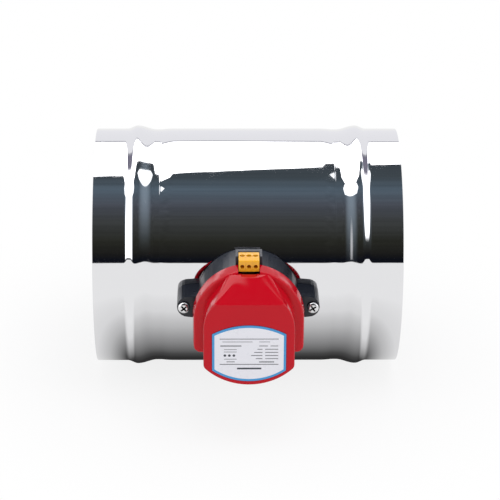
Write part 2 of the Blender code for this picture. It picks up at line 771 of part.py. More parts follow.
def make_switch(name, frame, side, pressed):
    """A snap-action switch with a plunger that rides on the end cam."""
    width, height, _ = SWITCH_SIZE
    sides = sorted((side * SWITCH_FACE, side * (SWITCH_FACE + width)))
    body = block(name + "_body", frame, sides, (-height / 2, height / 2), switch_level_range())
    low, high = switch_level_range()
    for x, y in switch_post_places(side):
        start, end = (x, y, low - width), (x, y, high + width)
        cut(body, rod("post_hole", frame, start, end, SWITCH_POST_RADIUS + SEAT_GAP, 12))
    cam = CAM_HIGH if pressed else CAM_HIGH - CAM_RISE
    tip = side * (cam + RUNNING_GAP)
    root = tip + side * PLUNGER_LENGTH
    start = (0.0, 0.0, PLUNGER_LEVEL)
    deep = (side * (SWITCH_FACE + PLUNGER_LENGTH), 0.0, PLUNGER_LEVEL)
    cut(body, rod("plunger_bore", frame, start, deep, PLUNGER_RADIUS + RUNNING_GAP, 12))
    paint(body, finish((0.03, 0.03, 0.035), 0.5))
    axis = add_empty(name + "_plunger_axis", frame, (tip, 0.0, PLUNGER_LEVEL))
    start, end = (0.0, 0.0, 0.0), (root - tip, 0.0, 0.0)
    paint(rod(name + "_plunger", axis, start, end, PLUNGER_RADIUS, 12), finish((0.55, 0.08, 0.05), 0.4))


# Gears


def involute(angle):
    return math.tan(angle) - angle


def gear_outline(teeth, phase):
    """Four points to a tooth, on an involute that the backlash makes thinner."""
    pitch = GEAR_MODULE * teeth / 2
    base = pitch * math.cos(PRESSURE_ANGLE)
    tip = pitch + ADDENDUM * GEAR_MODULE
    root = pitch - DEDENDUM * GEAR_MODULE
    half_at_pitch = math.pi / (2 * teeth) - BACKLASH / (2 * pitch)
    flank = []
    for radius in (root, tip):
        slope = math.acos(min(1.0, base / radius))
        flank.append((radius, half_at_pitch + involute(PRESSURE_ANGLE) - involute(slope)))
    points = []
    for i in range(teeth):
        middle = phase + 2 * math.pi * i / teeth
        points += [polar(radius, middle - half) for radius, half in flank]
        points += [polar(radius, middle + half) for radius, half in reversed(flank)]
    return points


def centre_distance(teeth, other_teeth):
    return GEAR_MODULE * (teeth + other_teeth) / 2 + CENTRE_EASE


def bearing_between(first, second):
    return math.atan2(second[1] - first[1], second[0] - first[0])


def meshing_phases(first, second, second_teeth):
    """Tooth angles that put a tooth of the first wheel in a gap of the second."""
    bearing = bearing_between(first, second)
    return bearing, bearing + math.pi + math.pi / second_teeth


def gear_centres():
    """Centres of the motor pinion, the first and second wheels and the output wheel."""
    output = (0.0, 0.0)
    motor = (0.0, MOTOR_Y)
    stage = centre_distance(PINION_TEETH, WHEEL_TEETH)
    first = polar(stage, FIRST_WHEEL_BEARING, motor)
    last_stage = centre_distance(PINION_TEETH, OUTPUT_TEETH)
    across = math.hypot(*first)
    along = (last_stage**2 - stage**2 + across**2) / (2 * across)
    aside = math.sqrt(last_stage**2 - along**2)
    bearing = bearing_between(output, first)
    second = polar(aside, bearing + math.pi / 2, polar(along, bearing))
    return motor, first, second, output


def make_wheel_and_pinion(name, frame, centre, wheel_phase, wheel_level, pinion_phase, material):
    """A wheel with a pinion below it, loose on a fixed axle."""
    axis = add_empty(name + "_axis", frame, (*centre, 0.0))
    bore = circle((0, 0), AXLE_RADIUS + RUNNING_GAP, 12)
    wheel = gear_outline(WHEEL_TEETH, wheel_phase)
    piece = extruded(name, axis, [wheel, bore], (wheel_level, wheel_level + LAYER_DEPTH - LAYER_CLEARANCE))
    pinion = gear_outline(PINION_TEETH, pinion_phase)
    low = wheel_level - LAYER_STEP
    join(piece, extruded(name + "_pinion", axis, [pinion, bore], (low, wheel_level + LAYER_CLEARANCE)))
    paint(piece, material)


def make_output_gear(frame, phase):
    top = LAYER_C + LAYER_DEPTH
    gear = extruded("output_gear", frame, [gear_outline(OUTPUT_TEETH, phase)], (LAYER_C, top))
    shaft = d_outline(OUTPUT_SHAFT_RADIUS, OUTPUT_SHAFT_FLAT)
    overlap = LAYER_C + LAYER_CLEARANCE
    join(gear, extruded("output_shaft", frame, [shaft], (HUB_SPLIT + SEAT_GAP, overlap)))
    pivot_end = FRONT_PLATE + PLATE_STEEL
    start = (0, 0, top - LAYER_CLEARANCE)
    join(gear, rod("output_pivot", frame, start, (0, 0, pivot_end), OUTPUT_PIVOT_RADIUS, 16))
    paint(gear, brass())


def make_gears(frame):
    motor, first, second, output = gear_centres()
    rotor_phase, first_phase = meshing_phases(motor, first, WHEEL_TEETH)
    first_pinion_phase, second_phase = meshing_phases(first, second, WHEEL_TEETH)
    second_pinion_phase, output_phase = meshing_phases(second, output, OUTPUT_TEETH)
    acetal = finish((0.86, 0.85, 0.80), 0.42)
    make_wheel_and_pinion("first_gear", frame, first, first_phase, LAYER_A, first_pinion_phase, acetal)
    make_wheel_and_pinion("second_gear", frame, second, second_phase, LAYER_B, second_pinion_phase, brass())
    make_output_gear(frame, output_phase)
    return rotor_phase


# Gearbox plates and posts


def motor_screw_places():
    return [(side * MOTOR_SCREW_X, MOTOR_SCREW_Y) for side in (-1, 1)]


def rear_plate_outline():
    """A round plate with a screw tab on each side."""
    centre = (0.0, REAR_PLATE_CENTRE_Y)
    tab_low = math.asin((MOTOR_SCREW_Y - MOTOR_TAB_RADIUS - centre[1]) / REAR_PLATE_RADIUS)
    tab_high = math.asin((MOTOR_SCREW_Y + MOTOR_TAB_RADIUS - centre[1]) / REAR_PLATE_RADIUS)
    right = arc(centre, REAR_PLATE_RADIUS, -math.pi / 2, tab_low, 9)
    tab = (MOTOR_SCREW_X, MOTOR_SCREW_Y)
    right += arc(tab, MOTOR_TAB_RADIUS, -math.pi / 2, math.pi / 2, 6)
    right += arc(centre, REAR_PLATE_RADIUS, tab_high, math.pi / 2, 7)
    return mirrored(right)


def pivot_holes(places):
    """Round holes, each given by its centre and the radius of what it carries."""
    return [circle(centre, radius + RUNNING_GAP, 10) for centre, radius in places]


def make_gearbox_plates(frame):
    motor, first, second, output = gear_centres()
    shared = [(first, AXLE_RADIUS), (second, AXLE_RADIUS)]
    shared += [(place, POST_PIN_RADIUS) for place in POST_PLACES]
    screws = [(place, MOTOR_SCREW_RADIUS) for place in motor_screw_places()]
    holes = pivot_holes(shared + screws + [(output, OUTPUT_SHAFT_RADIUS)])
    span = (REAR_PLATE, REAR_PLATE + PLATE_STEEL)
    rear = extruded("gearbox_rear_plate", frame, [rear_plate_outline()] + holes, span)
    paint(rear, plated_steel())
    holes = pivot_holes(shared + [(motor, ROTOR_SHAFT_RADIUS), (output, OUTPUT_PIVOT_RADIUS)])
    span = (FRONT_PLATE, FRONT_PLATE + PLATE_STEEL)
    outline = circle(motor, FRONT_PLATE_RADIUS, 36)
    paint(extruded("gearbox_front_plate", frame, [outline] + holes, span), plated_steel())


def make_axles_and_posts(frame):
    _, first, second, _ = gear_centres()
    top = FRONT_PLATE + PLATE_STEEL
    for number, centre in enumerate((first, second), 1):
        start, end = (*centre, REAR_PLATE), (*centre, top)
        paint(rod("gear_axle_%d" % number, frame, start, end, AXLE_RADIUS, 12), bright_steel())
    low = REAR_PLATE + PLATE_STEEL + SEAT_GAP
    high = FRONT_PLATE - SEAT_GAP
    profile = [
        (0.0, top),
        (POST_PIN_RADIUS, top),
        (POST_PIN_RADIUS, high),
        (POST_RADIUS, high),
        (POST_RADIUS, low),
        (POST_PIN_RADIUS, low),
        (POST_PIN_RADIUS, REAR_PLATE),
        (0.0, REAR_PLATE),
    ]
    for number, (x, y) in enumerate(POST_PLACES, 1):
        paint(turned("gearbox_post_%d" % number, frame, profile, 10, (x, y, 0.0)), bright_steel())


# Motor


def make_rotor(frame, phase):
    axis = add_empty("rotor_axis", frame, (0.0, MOTOR_Y, 0.0))
    outline = gear_outline(PINION_TEETH, phase)
    pinion = extruded("rotor_pinion", axis, [outline], (LAYER_A, LAYER_A + LAYER_DEPTH - LAYER_CLEARANCE))
    start, end = (0, 0, LAYER_A + LAYER_CLEARANCE), (0, 0, CAN_FRONT)
    join(pinion, rod("rotor_shaft", axis, start, end, ROTOR_SHAFT_RADIUS, 12))
    paint(pinion, bright_steel())
    low, high = BOBBIN_REAR + SEAT_GAP, BOBBIN_FRONT - 2 * BOBBIN_WALL
    outer = circle((0, 0), ROTOR_RADIUS, 24)
    inner = circle((0, 0), ROTOR_SHAFT_RADIUS + SEAT_GAP, 12)
    paint(extruded("rotor_magnet", axis, [outer, inner], (low, high)), magnet_ceramic())


def make_motor_can(frame):
    inner = CAN_RADIUS - CAN_WALL
    hole = ROTOR_SHAFT_RADIUS + RUNNING_GAP
    profile = [
        (hole, CAN_FRONT),
        (CAN_RADIUS - CAN_WALL, CAN_FRONT),
        (CAN_RADIUS, CAN_FRONT - CAN_WALL),
        (CAN_RADIUS, CAN_REAR),
        (inner, CAN_REAR),
        (inner, CAN_FRONT - CAN_WALL),
        (hole, CAN_FRONT - CAN_WALL),
        (hole, CAN_FRONT),
    ]
    paint(turned("motor_can", frame, profile, 36, (0.0, MOTOR_Y, 0.0)), plated_steel())


def make_stator(frame):
    centre = (0.0, MOTOR_Y, 0.0)
    rings = [circle((0, 0), POLE_OUTER, 24), circle((0, 0), POLE_INNER, 24)]
    poles = extruded("stator_poles", frame, rings, (BOBBIN_REAR, BOBBIN_FRONT), centre)
    slot_end = BOBBIN_FRONT - BOBBIN_WALL
    for i in range(POLE_SLOTS):
        half = POLE_SLOT_WIDTH / 2
        reach = (0.5 * POLE_INNER, 1.5 * POLE_OUTER)
        slot = block("pole_slot", frame, reach, (-half, half), (BOBBIN_REAR - half, slot_end))
        slot.location = centre
        slot.rotation_euler = (0.0, 0.0, 2 * math.pi * i / POLE_SLOTS)
        cut(poles, slot)
    paint(poles, plated_steel())
    core = BOBBIN_BORE + BOBBIN_WALL
    profile = [
        (BOBBIN_BORE, BOBBIN_FRONT),
        (BOBBIN_RADIUS, BOBBIN_FRONT),
        (BOBBIN_RADIUS, BOBBIN_FRONT - BOBBIN_WALL),
        (core, BOBBIN_FRONT - BOBBIN_WALL),
        (core, BOBBIN_REAR + BOBBIN_WALL),
        (BOBBIN_RADIUS, BOBBIN_REAR + BOBBIN_WALL),
        (BOBBIN_RADIUS, BOBBIN_REAR),
        (BOBBIN_BORE, BOBBIN_REAR),
        (BOBBIN_BORE, BOBBIN_FRONT),
    ]
    paint(turned("coil_bobbin", frame, profile, 24, centre), natural_nylon())
    rings = [circle((0, 0), WINDING_RADIUS, 24), circle((0, 0), core + SEAT_GAP, 24)]
    span = (BOBBIN_REAR + BOBBIN_WALL + SEAT_GAP, BOBBIN_FRONT - BOBBIN_WALL - SEAT_GAP)
    paint(extruded("coil_winding", frame, rings, span, centre), copper())


# Screws


def screw_profile(seat, tip, radius, head_radius, head_height):
    """A pan head above its seat and a plain shank with a short point below it."""
    return [
        (0.0, seat + head_height),
        (0.58 * head_radius, seat + head_height),
        (0.90 * head_radius, seat + 0.72 * head_height),
        (head_radius, seat + 0.30 * head_height),
        (head_radius, seat),
        (radius, seat),
        (radius, tip + radius),
        (0.35 * radius, tip),
        (0.0, tip),
    ]


def cut_cross(piece, frame, place, top, head_radius, depth):
    """A cross recess in the top of a screw head."""
    arm, half = 0.62 * head_radius, 0.13 * head_radius
    for reach in ((arm, half), (half, arm)):
        x_range = (place[0] - reach[0], place[0] + reach[0])
        y_range = (place[1] - reach[1], place[1] + reach[1])
        cut(piece, block("cross_arm", frame, x_range, y_range, (top - depth, top + depth)))


def make_mount_screws(frame):
    seat = EAR_FACE + SEAT_GAP
    tip = BORE_RADIUS - MOUNT_SCREW_BITE
    sizes = (MOUNT_SCREW_RADIUS, MOUNT_SCREW_HEAD_RADIUS, MOUNT_SCREW_HEAD_HEIGHT)
    for name, side in (("mount_screw_left", -1), ("mount_screw_right", 1)):
        place = (side * MOUNT_SCREW_X, 0.0, 0.0)
        screw = turned(name, frame, screw_profile(seat, tip, *sizes), 16, place)
        top = seat + MOUNT_SCREW_HEAD_HEIGHT
        cut_cross(screw, frame, place, top, MOUNT_SCREW_HEAD_RADIUS, 0.6 * MOUNT_SCREW_HEAD_HEIGHT)
        paint(screw, bright_steel())


def make_motor_screws(frame):
    seat = REAR_PLATE + PLATE_STEEL + SEAT_GAP
    tip = REAR_PLATE - MOTOR_SCREW_BITE
    sizes = (MOTOR_SCREW_RADIUS, MOTOR_SCREW_HEAD_RADIUS, MOTOR_SCREW_HEAD_HEIGHT)
    for number, (x, y) in enumerate(motor_screw_places(), 1):
        profile = screw_profile(seat, tip, *sizes)
        paint(turned("motor_screw_%d" % number, frame, profile, 8, (x, y, 0.0)), plated_steel())


def cover_screw_places():
    return [(side * COVER_SCREW_X, COVER_SCREW_Y) for side in (-1, 1)]


def make_cover_screws(frame):
    """Screws put in from behind the base, through its bosses and into the cover's."""
    seat = BASE_BOTTOM + COVER_SCREW_SINK - SEAT_GAP
    tip = COVER_BOSS_START + COVER_SCREW_BITE
    sizes = (COVER_SCREW_RADIUS, COVER_SCREW_HEAD_RADIUS, COVER_SCREW_HEAD_HEIGHT)
    for number, (x, y) in enumerate(cover_screw_places(), 1):
        profile = screw_profile(-seat, -tip, *sizes)
        screw = turned("cover_screw_%d" % number, frame, profile, 8, (x, y, 0.0), (math.pi, 0, 0))
        paint(screw, plated_steel())


# Actuator base


def ear_outline(side):
    """The plan of one screw ear, from inside the base's wall to its round end."""
    tip = arc((side * EAR_CENTRE, 0.0), EAR_RADIUS, -math.pi / 2, math.pi / 2, 10)
    if side < 0:
        tip = [(2 * side * EAR_CENTRE - x, y) for x, y in tip]
    root = side * CAVITY_RADIUS * math.cos(math.asin(EAR_ROOT_HALF_WIDTH / CAVITY_RADIUS))
    return tip + [(root, EAR_ROOT_HALF_WIDTH), (root, -EAR_ROOT_HALF_WIDTH)]


def board_post_places():
    x = BOARD_BODY_HALF_WIDTH - BOARD_POST_RADIUS - COVER_BOSS_RADIUS / 2
    return [(-x, (BOARD_BODY_LOW + BOARD_BODY_HIGH) / 2), (x, (BOARD_BODY_LOW + BOARD_BODY_HIGH) / 2)]


def add_base_posts(base, frame):
    """Bosses and posts that rise from the floor inside the base."""
    cover_boss_top = COVER_BOSS_START - SEAT_GAP
    posts = [(place, COVER_BOSS_RADIUS + SEAT_GAP, cover_boss_top) for place in cover_screw_places()]
    posts += [(place, MOTOR_BOSS_RADIUS, REAR_PLATE - SEAT_GAP) for place in motor_screw_places()]
    posts += [(place, BOARD_POST_RADIUS, BOARD_REAR - SEAT_GAP) for place in board_post_places()]
    pin_top = switch_level_range()[1] + SWITCH_POST_RADIUS
    for side in (-1, 1):
        posts += [(place, SWITCH_POST_RADIUS, pin_top) for place in switch_post_places(side)]
    root = (BASE_BOTTOM + FLOOR_TOP) / 2
    for (x, y), radius, top in posts:
        join(base, rod("base_post", frame, (x, y, root), (x, y, top), radius, 10))


def cut_base_holes(base, frame):
    below = BASE_BOTTOM - COLLAR_RADIUS
    hole = BUSH_RADIUS + SEAT_GAP
    cut(base, rod("base_shaft_hole", frame, (0, 0, below), (0, 0, HUB_REAR), hole))
    for side in (-1, 1):
        x = side * MOUNT_SCREW_X
        start, end = (x, 0, below), (x, 0, EAR_FACE + EAR_RADIUS)
        cut(base, rod("ear_screw_hole", frame, start, end, MOUNT_SCREW_RADIUS + SEAT_GAP, 12))
    sink = BASE_BOTTOM + COVER_SCREW_SINK
    for x, y in cover_screw_places():
        start, end = (x, y, below), (x, y, COVER_BOSS_START + COVER_BOSS_RADIUS)
        cut(base, rod("cover_screw_hole", frame, start, end, COVER_SCREW_RADIUS + SEAT_GAP, 8))
        start, end = (x, y, below), (x, y, sink)
        cut(base, rod("cover_screw_sink", frame, start, end, COVER_SCREW_HEAD_RADIUS + SEAT_GAP, 12))
    for x, y in motor_screw_places():
        start, end = (x, y, REAR_PLATE - MOTOR_SCREW_BITE - SEAT_GAP), (x, y, REAR_PLATE)
        cut(base, rod("motor_screw_hole", frame, start, end, MOTOR_SCREW_RADIUS + SEAT_GAP, 8))


def make_base(frame):
    start = (0, 0, BASE_BOTTOM)
    top = BASE_RIM + SPIGOT_HEIGHT
    base = rod("actuator_base", frame, start, (0, 0, top), BASE_RADIUS, 48)
    foot = DUCT_RADIUS - COLLAR_RADIUS / 4
    join(base, rod("collar", frame, (0, 0, foot), (0, 0, FLOOR_TOP), COLLAR_RADIUS, 20))
    ear_foot = DUCT_RADIUS - EAR_RADIUS / 4
    for side in (-1, 1):
        join(base, extruded("ear", frame, [ear_outline(side)], (ear_foot, EAR_FACE)))
    tower_side = POCKET_HALF_WIDTH + TOWER_WALL
    tower_rear = BOARD_REAR - SEAT_GAP - TOWER_WALL
    tower_low = CAVITY_RADIUS - TOWER_WALL
    tower_x, tower_y = (-tower_side, tower_side), (tower_low, TOWER_TOP)
    join(base, block("tower", frame, tower_x, tower_y, (tower_rear, BASE_RIM)))
    cut(base, rod("base_cavity", frame, (0, 0, FLOOR_TOP), (0, 0, 2 * top), CAVITY_RADIUS, 48))
    inside = (-POCKET_HALF_WIDTH, POCKET_HALF_WIDTH)
    slot_z = (BOARD_REAR - SEAT_GAP, BASE_RIM + TOWER_WALL)
    slot_y = (BOARD_BODY_HIGH, TOWER_TOP - TOWER_ROOF)
    cut(base, block("board_slot", frame, inside, slot_y, slot_z))
    pocket_y = (TERMINAL_BOTTOM - SEAT_GAP, 2 * TOWER_TOP)
    cut(base, block("terminal_pocket", frame, inside, pocket_y, (BOARD_FRONT, 2 * BASE_RIM)))
    add_base_posts(base, frame)
    cut_base_holes(base, frame)
    reach = EAR_CENTRE + 2 * EAR_RADIUS
    saddle = rod("duct_saddle", frame, (-reach, 0, 0), (reach, 0, 0), DUCT_RADIUS + SEAT_GAP, 72)
    cut(base, saddle)
    paint(base, black_plastic())


# Actuator cover


def skirt_outline(inset):
    """Half round above, straight sides and round lower corners, drawn in by the inset."""
    radius = SKIRT_RADIUS - inset
    corner = SKIRT_CORNER - inset if SKIRT_CORNER > inset + SEAT_GAP else SEAT_GAP
    corner_centre = (radius - corner, SKIRT_SIDE_LOW)
    right = [(0.0, SKIRT_SIDE_LOW - corner)]
    right += arc(corner_centre, corner, -math.pi / 2, 0.0, 5)
    right += arc((0.0, 0.0), radius, 0.0, math.pi / 2, 12)
    return mirrored(right)


def body_sides(inset):
    """The right half of the raised front's plan below its arch: a wide arc and a straight side."""
    side = BODY_HALF_WIDTH - inset
    low_radius = BODY_BOTTOM_RADIUS - inset
    low_centre = BODY_BOTTOM + BODY_BOTTOM_RADIUS
    corner = BODY_CORNER - inset / 2
    corner_x = side - corner
    corner_y = low_centre - math.sqrt((low_radius - corner) ** 2 - corner_x**2)
    low_end = math.atan2(corner_y - low_centre, corner_x)
    right = arc((0.0, low_centre), low_radius, -math.pi / 2, low_end, 6)
    right += arc((corner_x, corner_y), corner, low_end, 0.0, 4)[1:]
    return right


def foot_outline(inset):
    """The raised front's plan on the shoulder: the arch has straight flanks and a flat top."""
    side = BODY_HALF_WIDTH - inset
    right = body_sides(inset) + arc((0.0, ARCH_HEIGHT), side, 0.0, FLANK_ANGLE, 4)
    corner_y = BODY_TOP - BODY_TOP_CORNER
    inward = BODY_HALF_WIDTH - BODY_TOP_CORNER - (corner_y - ARCH_HEIGHT) * math.sin(FLANK_ANGLE)
    corner_centre = (inward / math.cos(FLANK_ANGLE), corner_y)
    right += arc(corner_centre, BODY_TOP_CORNER - inset, FLANK_ANGLE, math.pi / 2, 5)
    return mirrored(right)


def face_outline(inset, crease):
    """The plan of the flat front face, which ends above in the straight crease."""
    side = BODY_HALF_WIDTH - FACE_DRAFT - inset
    end = math.asin((crease - ARCH_HEIGHT) / side)
    return mirrored(body_sides(FACE_DRAFT + inset) + arc((0.0, ARCH_HEIGHT), side, 0.0, end, 5))


def raised_front(name, frame, inset, rear):
    """The raised front drawn in by the inset, from the rear level to the face.

    Its slope runs from the crease to the flat top, and its leaf-shaped flanks fan out from the
    ends of the crease.
    """
    slope = math.atan2(FRONT_HEIGHT, BODY_TOP - CREASE_HEIGHT)
    foot = foot_outline(inset)
    foot_level = SHOULDER - inset * math.tan((math.pi / 2 - slope) / 2)
    face = face_outline(inset, CREASE_HEIGHT - inset * math.tan(slope / 2))
    return hull(name, frame, [(foot, rear), (foot, foot_level), (face, FACE - inset)])


def make_cover_shell(frame):
    draft = (SHOULDER - BASE_RIM, SKIRT_DRAFT)
    rear = BASE_RIM - draft[0]
    sections = [(skirt_outline(-draft[1]), rear), (skirt_outline(draft[1]), SHOULDER)]
    cover = loft("actuator_cover", frame, sections)
    round_edges(cover, SKIRT_FILLET, 2)
    body = raised_front("cover_body", frame, 0.0, rear)
    round_edges(body, BODY_FILLET, 2, 60.0)
    join(cover, body)
    open_end = (-2 * SKIRT_RADIUS, 2 * SKIRT_RADIUS)
    cut(cover, block("cover_rim_trim", frame, open_end, open_end, (0.0, BASE_RIM)))
    return cover


def hollow_cover(cover, frame):
    below = BASE_RIM - COVER_WALL
    inner_skirt = skirt_outline(COVER_WALL)
    cut(cover, loft("skirt_cavity", frame, [(inner_skirt, below), (inner_skirt, SHOULDER - COVER_WALL)]))
    cut(cover, raised_front("body_cavity", frame, COVER_WALL, below))


def label_outline(margin):
    side = LABEL_HALF_WIDTH + margin
    top_rise = LABEL_TOP - LABEL_SIDE_TOP
    low_rise = LABEL_SIDE_BOTTOM - LABEL_BOTTOM
    top_radius = (side**2 + top_rise**2) / (2 * top_rise)
    low_radius = (side**2 + low_rise**2) / (2 * low_rise)
    low_centre = (0.0, LABEL_BOTTOM - margin + low_radius)
    top_centre = (0.0, LABEL_TOP + margin - top_radius)
    low_end = -math.pi / 2 + math.asin(side / low_radius)
    top_start = math.pi / 2 - math.asin(side / top_radius)
    right = arc(low_centre, low_radius, -math.pi / 2, low_end, 6)
    right += arc(top_centre, top_radius, top_start, math.pi / 2, 6)
    return mirrored(right)


def cut_terminal_notch(cover, frame):
    """The opening in the skirt for the terminal block, and the wire notch below it."""
    half = POCKET_HALF_WIDTH
    low = TERMINAL_BOTTOM - SEAT_GAP
    z_range = (0.0, SHOULDER + SEAT_GAP)
    cut(cover, block("terminal_notch", frame, (-half, half), (low, 2 * TERMINAL_TOP), z_range))
    wide, narrow = 0.9 * TERMINAL_WIDTH / 2, 0.7 * TERMINAL_WIDTH / 2
    foot, knee = low - WIRE_NOTCH_DEPTH, low + WIRE_NOTCH_FLARE
    outline = [(-narrow, foot), (narrow, foot), (wide, knee), (wide, 2 * low)]
    outline += [(-wide, 2 * low), (-wide, knee)]
    cut(cover, extruded("wire_notch", frame, [outline], (BASE_RIM, FACE)))


def make_cover(frame):
    cover = make_cover_shell(frame)
    hollow_cover(cover, frame)
    for x, y in cover_screw_places():
        start, end = (x, y, COVER_BOSS_START), (x, y, FACE - 2 * COVER_WALL)
        join(cover, rod("cover_boss", frame, start, end, COVER_BOSS_RADIUS, 12))
        start = (x, y, COVER_BOSS_START - COVER_WALL)
        end = (x, y, COVER_BOSS_START + COVER_SCREW_BITE + SEAT_GAP)
        cut(cover, rod("boss_pilot", frame, start, end, COVER_SCREW_RADIUS + SEAT_GAP, 8))
    cut_terminal_notch(cover, frame)
    recess = (FACE - LABEL_RECESS, FACE + COVER_WALL)
    cut(cover, extruded("label_recess", frame, [label_outline(SEAT_GAP)], recess))
    paint(cover, red_plastic())
    low = FACE - LABEL_RECESS + SEAT_GAP
    label = extruded("label_plate", frame, [label_outline(0.0)], (low, low + LABEL_THICKNESS))
    paint(label, label_film())


# Terminal block and circuit board


def terminal_places():
    return [TERMINAL_PITCH * (i - (TERMINAL_WAYS - 1) / 2) for i in range(TERMINAL_WAYS)]


def make_terminals(frame):
    half = TERMINAL_WIDTH / 2
    front = TERMINAL_REAR + TERMINAL_DEPTH
    y_range, z_range = (TERMINAL_BOTTOM, TERMINAL_TOP), (TERMINAL_REAR, front)
    body = block("terminal_block", frame, (-half, half), y_range, z_range)
    round_edges(body, TERMINAL_ROUNDING / 4, 2)
    screw_z = TERMINAL_REAR + 0.42 * TERMINAL_DEPTH
    wire_y = TERMINAL_BOTTOM + 0.45 * TERMINAL_HEIGHT
    bottom = TERMINAL_BOTTOM + 0.15 * TERMINAL_HEIGHT
    for number, x in enumerate(terminal_places(), 1):
        start, end = (x, bottom, screw_z), (x, 2 * TERMINAL_TOP, screw_z)
        cut(body, rod("terminal_screw_hole", frame, start, end, TERMINAL_HOLE_RADIUS + SEAT_GAP, 12))
        start, end = (x, wire_y, screw_z), (x, wire_y, 2 * front)
        cut(body, rod("wire_hole", frame, start, end, TERMINAL_HOLE_RADIUS, 12))
        low = wire_y - TERMINAL_HOLE_RADIUS / 2
        high = TERMINAL_TOP - TERMINAL_SCREW_RADIUS
        start, end = (x, low, screw_z), (x, high, screw_z)
        screw = rod("terminal_screw_%d" % number, frame, start, end, TERMINAL_SCREW_RADIUS, 14)
        slot = 0.25 * TERMINAL_SCREW_RADIUS
        x_range = (x - 2 * TERMINAL_SCREW_RADIUS, x + 2 * TERMINAL_SCREW_RADIUS)
        y_range = (high - 2 * slot, 2 * high)
        cut(screw, block("screw_slot", frame, x_range, y_range, (screw_z - slot, screw_z + slot)))
        paint(screw, plated_steel())
    paint(body, terminal_plastic())


def make_board(frame):
    stem = TERMINAL_WIDTH / 2
    wide = BOARD_BODY_HALF_WIDTH
    top = TOWER_TOP - TOWER_ROOF - SEAT_GAP
    right = [(0.0, BOARD_BODY_LOW), (wide, BOARD_BODY_LOW), (wide, BOARD_BODY_HIGH)]
    right += [(stem, BOARD_BODY_HIGH), (stem, top), (0.0, top)]
    board = extruded("circuit_board", frame, [mirrored(right)], (BOARD_REAR, BOARD_FRONT))
    paint(board, board_laminate())
    width, height, depth = CAPACITOR_SIZE
    low = BOARD_BODY_LOW + height / 2 + SEAT_GAP
    start = BOARD_FRONT + SEAT_GAP
    x_range, y_range = (-width / 2, width / 2), (low, low + height)
    capacitor = block("film_capacitor", frame, x_range, y_range, (start, start + depth))
    round_edges(capacitor, CAPACITOR_ROUNDING, 1)
    paint(capacitor, finish((0.75, 0.60, 0.10), 0.45))
    level = BOARD_REAR - SEAT_GAP - RESISTOR_RADIUS
    y = (BOARD_BODY_LOW + BOARD_BODY_HIGH) / 2
    half = RESISTOR_LENGTH / 2
    start, end = (-half, y, level), (half, y, level)
    paint(rod("drop_resistor", frame, start, end, RESISTOR_RADIUS, 16), finish((0.30, 0.42, 0.55), 0.5))


def main():
    global PARTS, CUTTERS
    clear_scene()
    PARTS = add_collection("motorized_damper")
    CUTTERS = add_collection("cutters")
    duct_frame = add_empty("duct_axis", rotation=(0.0, math.pi / 2, 0.0))
    actuator_frame = add_empty("actuator_axis", rotation=(math.pi / 2, 0.0, 0.0))
    blade_frame = add_empty("blade_axis", rotation=(math.pi / 2, 0.0, 0.0))
    make_duct(duct_frame, actuator_frame)
    make_bushes(actuator_frame)
    make_blade(blade_frame)
    make_cam_hub(blade_frame)
    make_switch("closed_switch", actuator_frame, 1, True)
    make_switch("open_switch", actuator_frame, -1, False)
    rotor_phase = make_gears(actuator_frame)
    make_gearbox_plates(actuator_frame)
    make_axles_and_posts(actuator_frame)
    make_rotor(actuator_frame, rotor_phase)
    make_motor_can(actuator_frame)
    make_stator(actuator_frame)
    make_mount_screws(actuator_frame)
    make_motor_screws(actuator_frame)
    make_cover_screws(actuator_frame)
    make_base(actuator_frame)
    make_cover(actuator_frame)
    make_terminals(actuator_frame)
    make_board(actuator_frame)
    bpy.context.view_layer.update()


main()
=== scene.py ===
import math

import bmesh
import bpy
import numpy as np
from mathutils import Matrix, Quaternion, Vector


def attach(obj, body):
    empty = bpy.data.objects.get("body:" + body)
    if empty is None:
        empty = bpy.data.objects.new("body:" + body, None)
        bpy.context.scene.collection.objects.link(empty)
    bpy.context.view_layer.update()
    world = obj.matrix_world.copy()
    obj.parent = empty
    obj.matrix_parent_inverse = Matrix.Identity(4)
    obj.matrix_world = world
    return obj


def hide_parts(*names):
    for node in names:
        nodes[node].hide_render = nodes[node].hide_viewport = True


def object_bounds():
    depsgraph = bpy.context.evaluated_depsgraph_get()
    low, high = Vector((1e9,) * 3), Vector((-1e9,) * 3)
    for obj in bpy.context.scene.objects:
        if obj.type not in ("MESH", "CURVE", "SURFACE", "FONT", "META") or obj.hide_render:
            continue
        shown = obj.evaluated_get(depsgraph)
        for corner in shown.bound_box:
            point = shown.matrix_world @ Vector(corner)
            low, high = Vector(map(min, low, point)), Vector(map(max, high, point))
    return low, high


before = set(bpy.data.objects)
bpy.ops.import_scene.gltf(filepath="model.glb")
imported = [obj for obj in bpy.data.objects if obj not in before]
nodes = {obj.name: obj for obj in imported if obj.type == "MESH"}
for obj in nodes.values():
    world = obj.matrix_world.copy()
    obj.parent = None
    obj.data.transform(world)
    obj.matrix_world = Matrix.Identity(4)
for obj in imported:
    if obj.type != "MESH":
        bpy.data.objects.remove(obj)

cad_low, cad_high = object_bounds()
scene = bpy.context.scene

# Frames of the actuator (x, height, distance out along the shaft) and of the duct
ACTUATOR = Matrix.Rotation(math.pi / 2, 4, "X")
DUCT = Matrix.Rotation(math.pi / 2, 4, "Y")
QUARTER = math.pi / 2

# Sizes of the model that the pieces here repeat, in metres
DUCT_RADIUS = 0.0750
DUCT_LENGTH = 0.1920
DUCT_WALL = 0.0008
BEAD = 0.0700
BASE_RIM = 0.1040
SHOULDER = 0.1133
FACE = 0.1310
COVER_WALL = 0.0018
SEAT_GAP = 0.0003
EAR_FACE = 0.0935
SCREW_X = 0.0394
COVER_SCREWS = ((-0.0180, 0.0175), (0.0180, 0.0175))
FAR = 0.08  # past every piece of the actuator


# Meshes


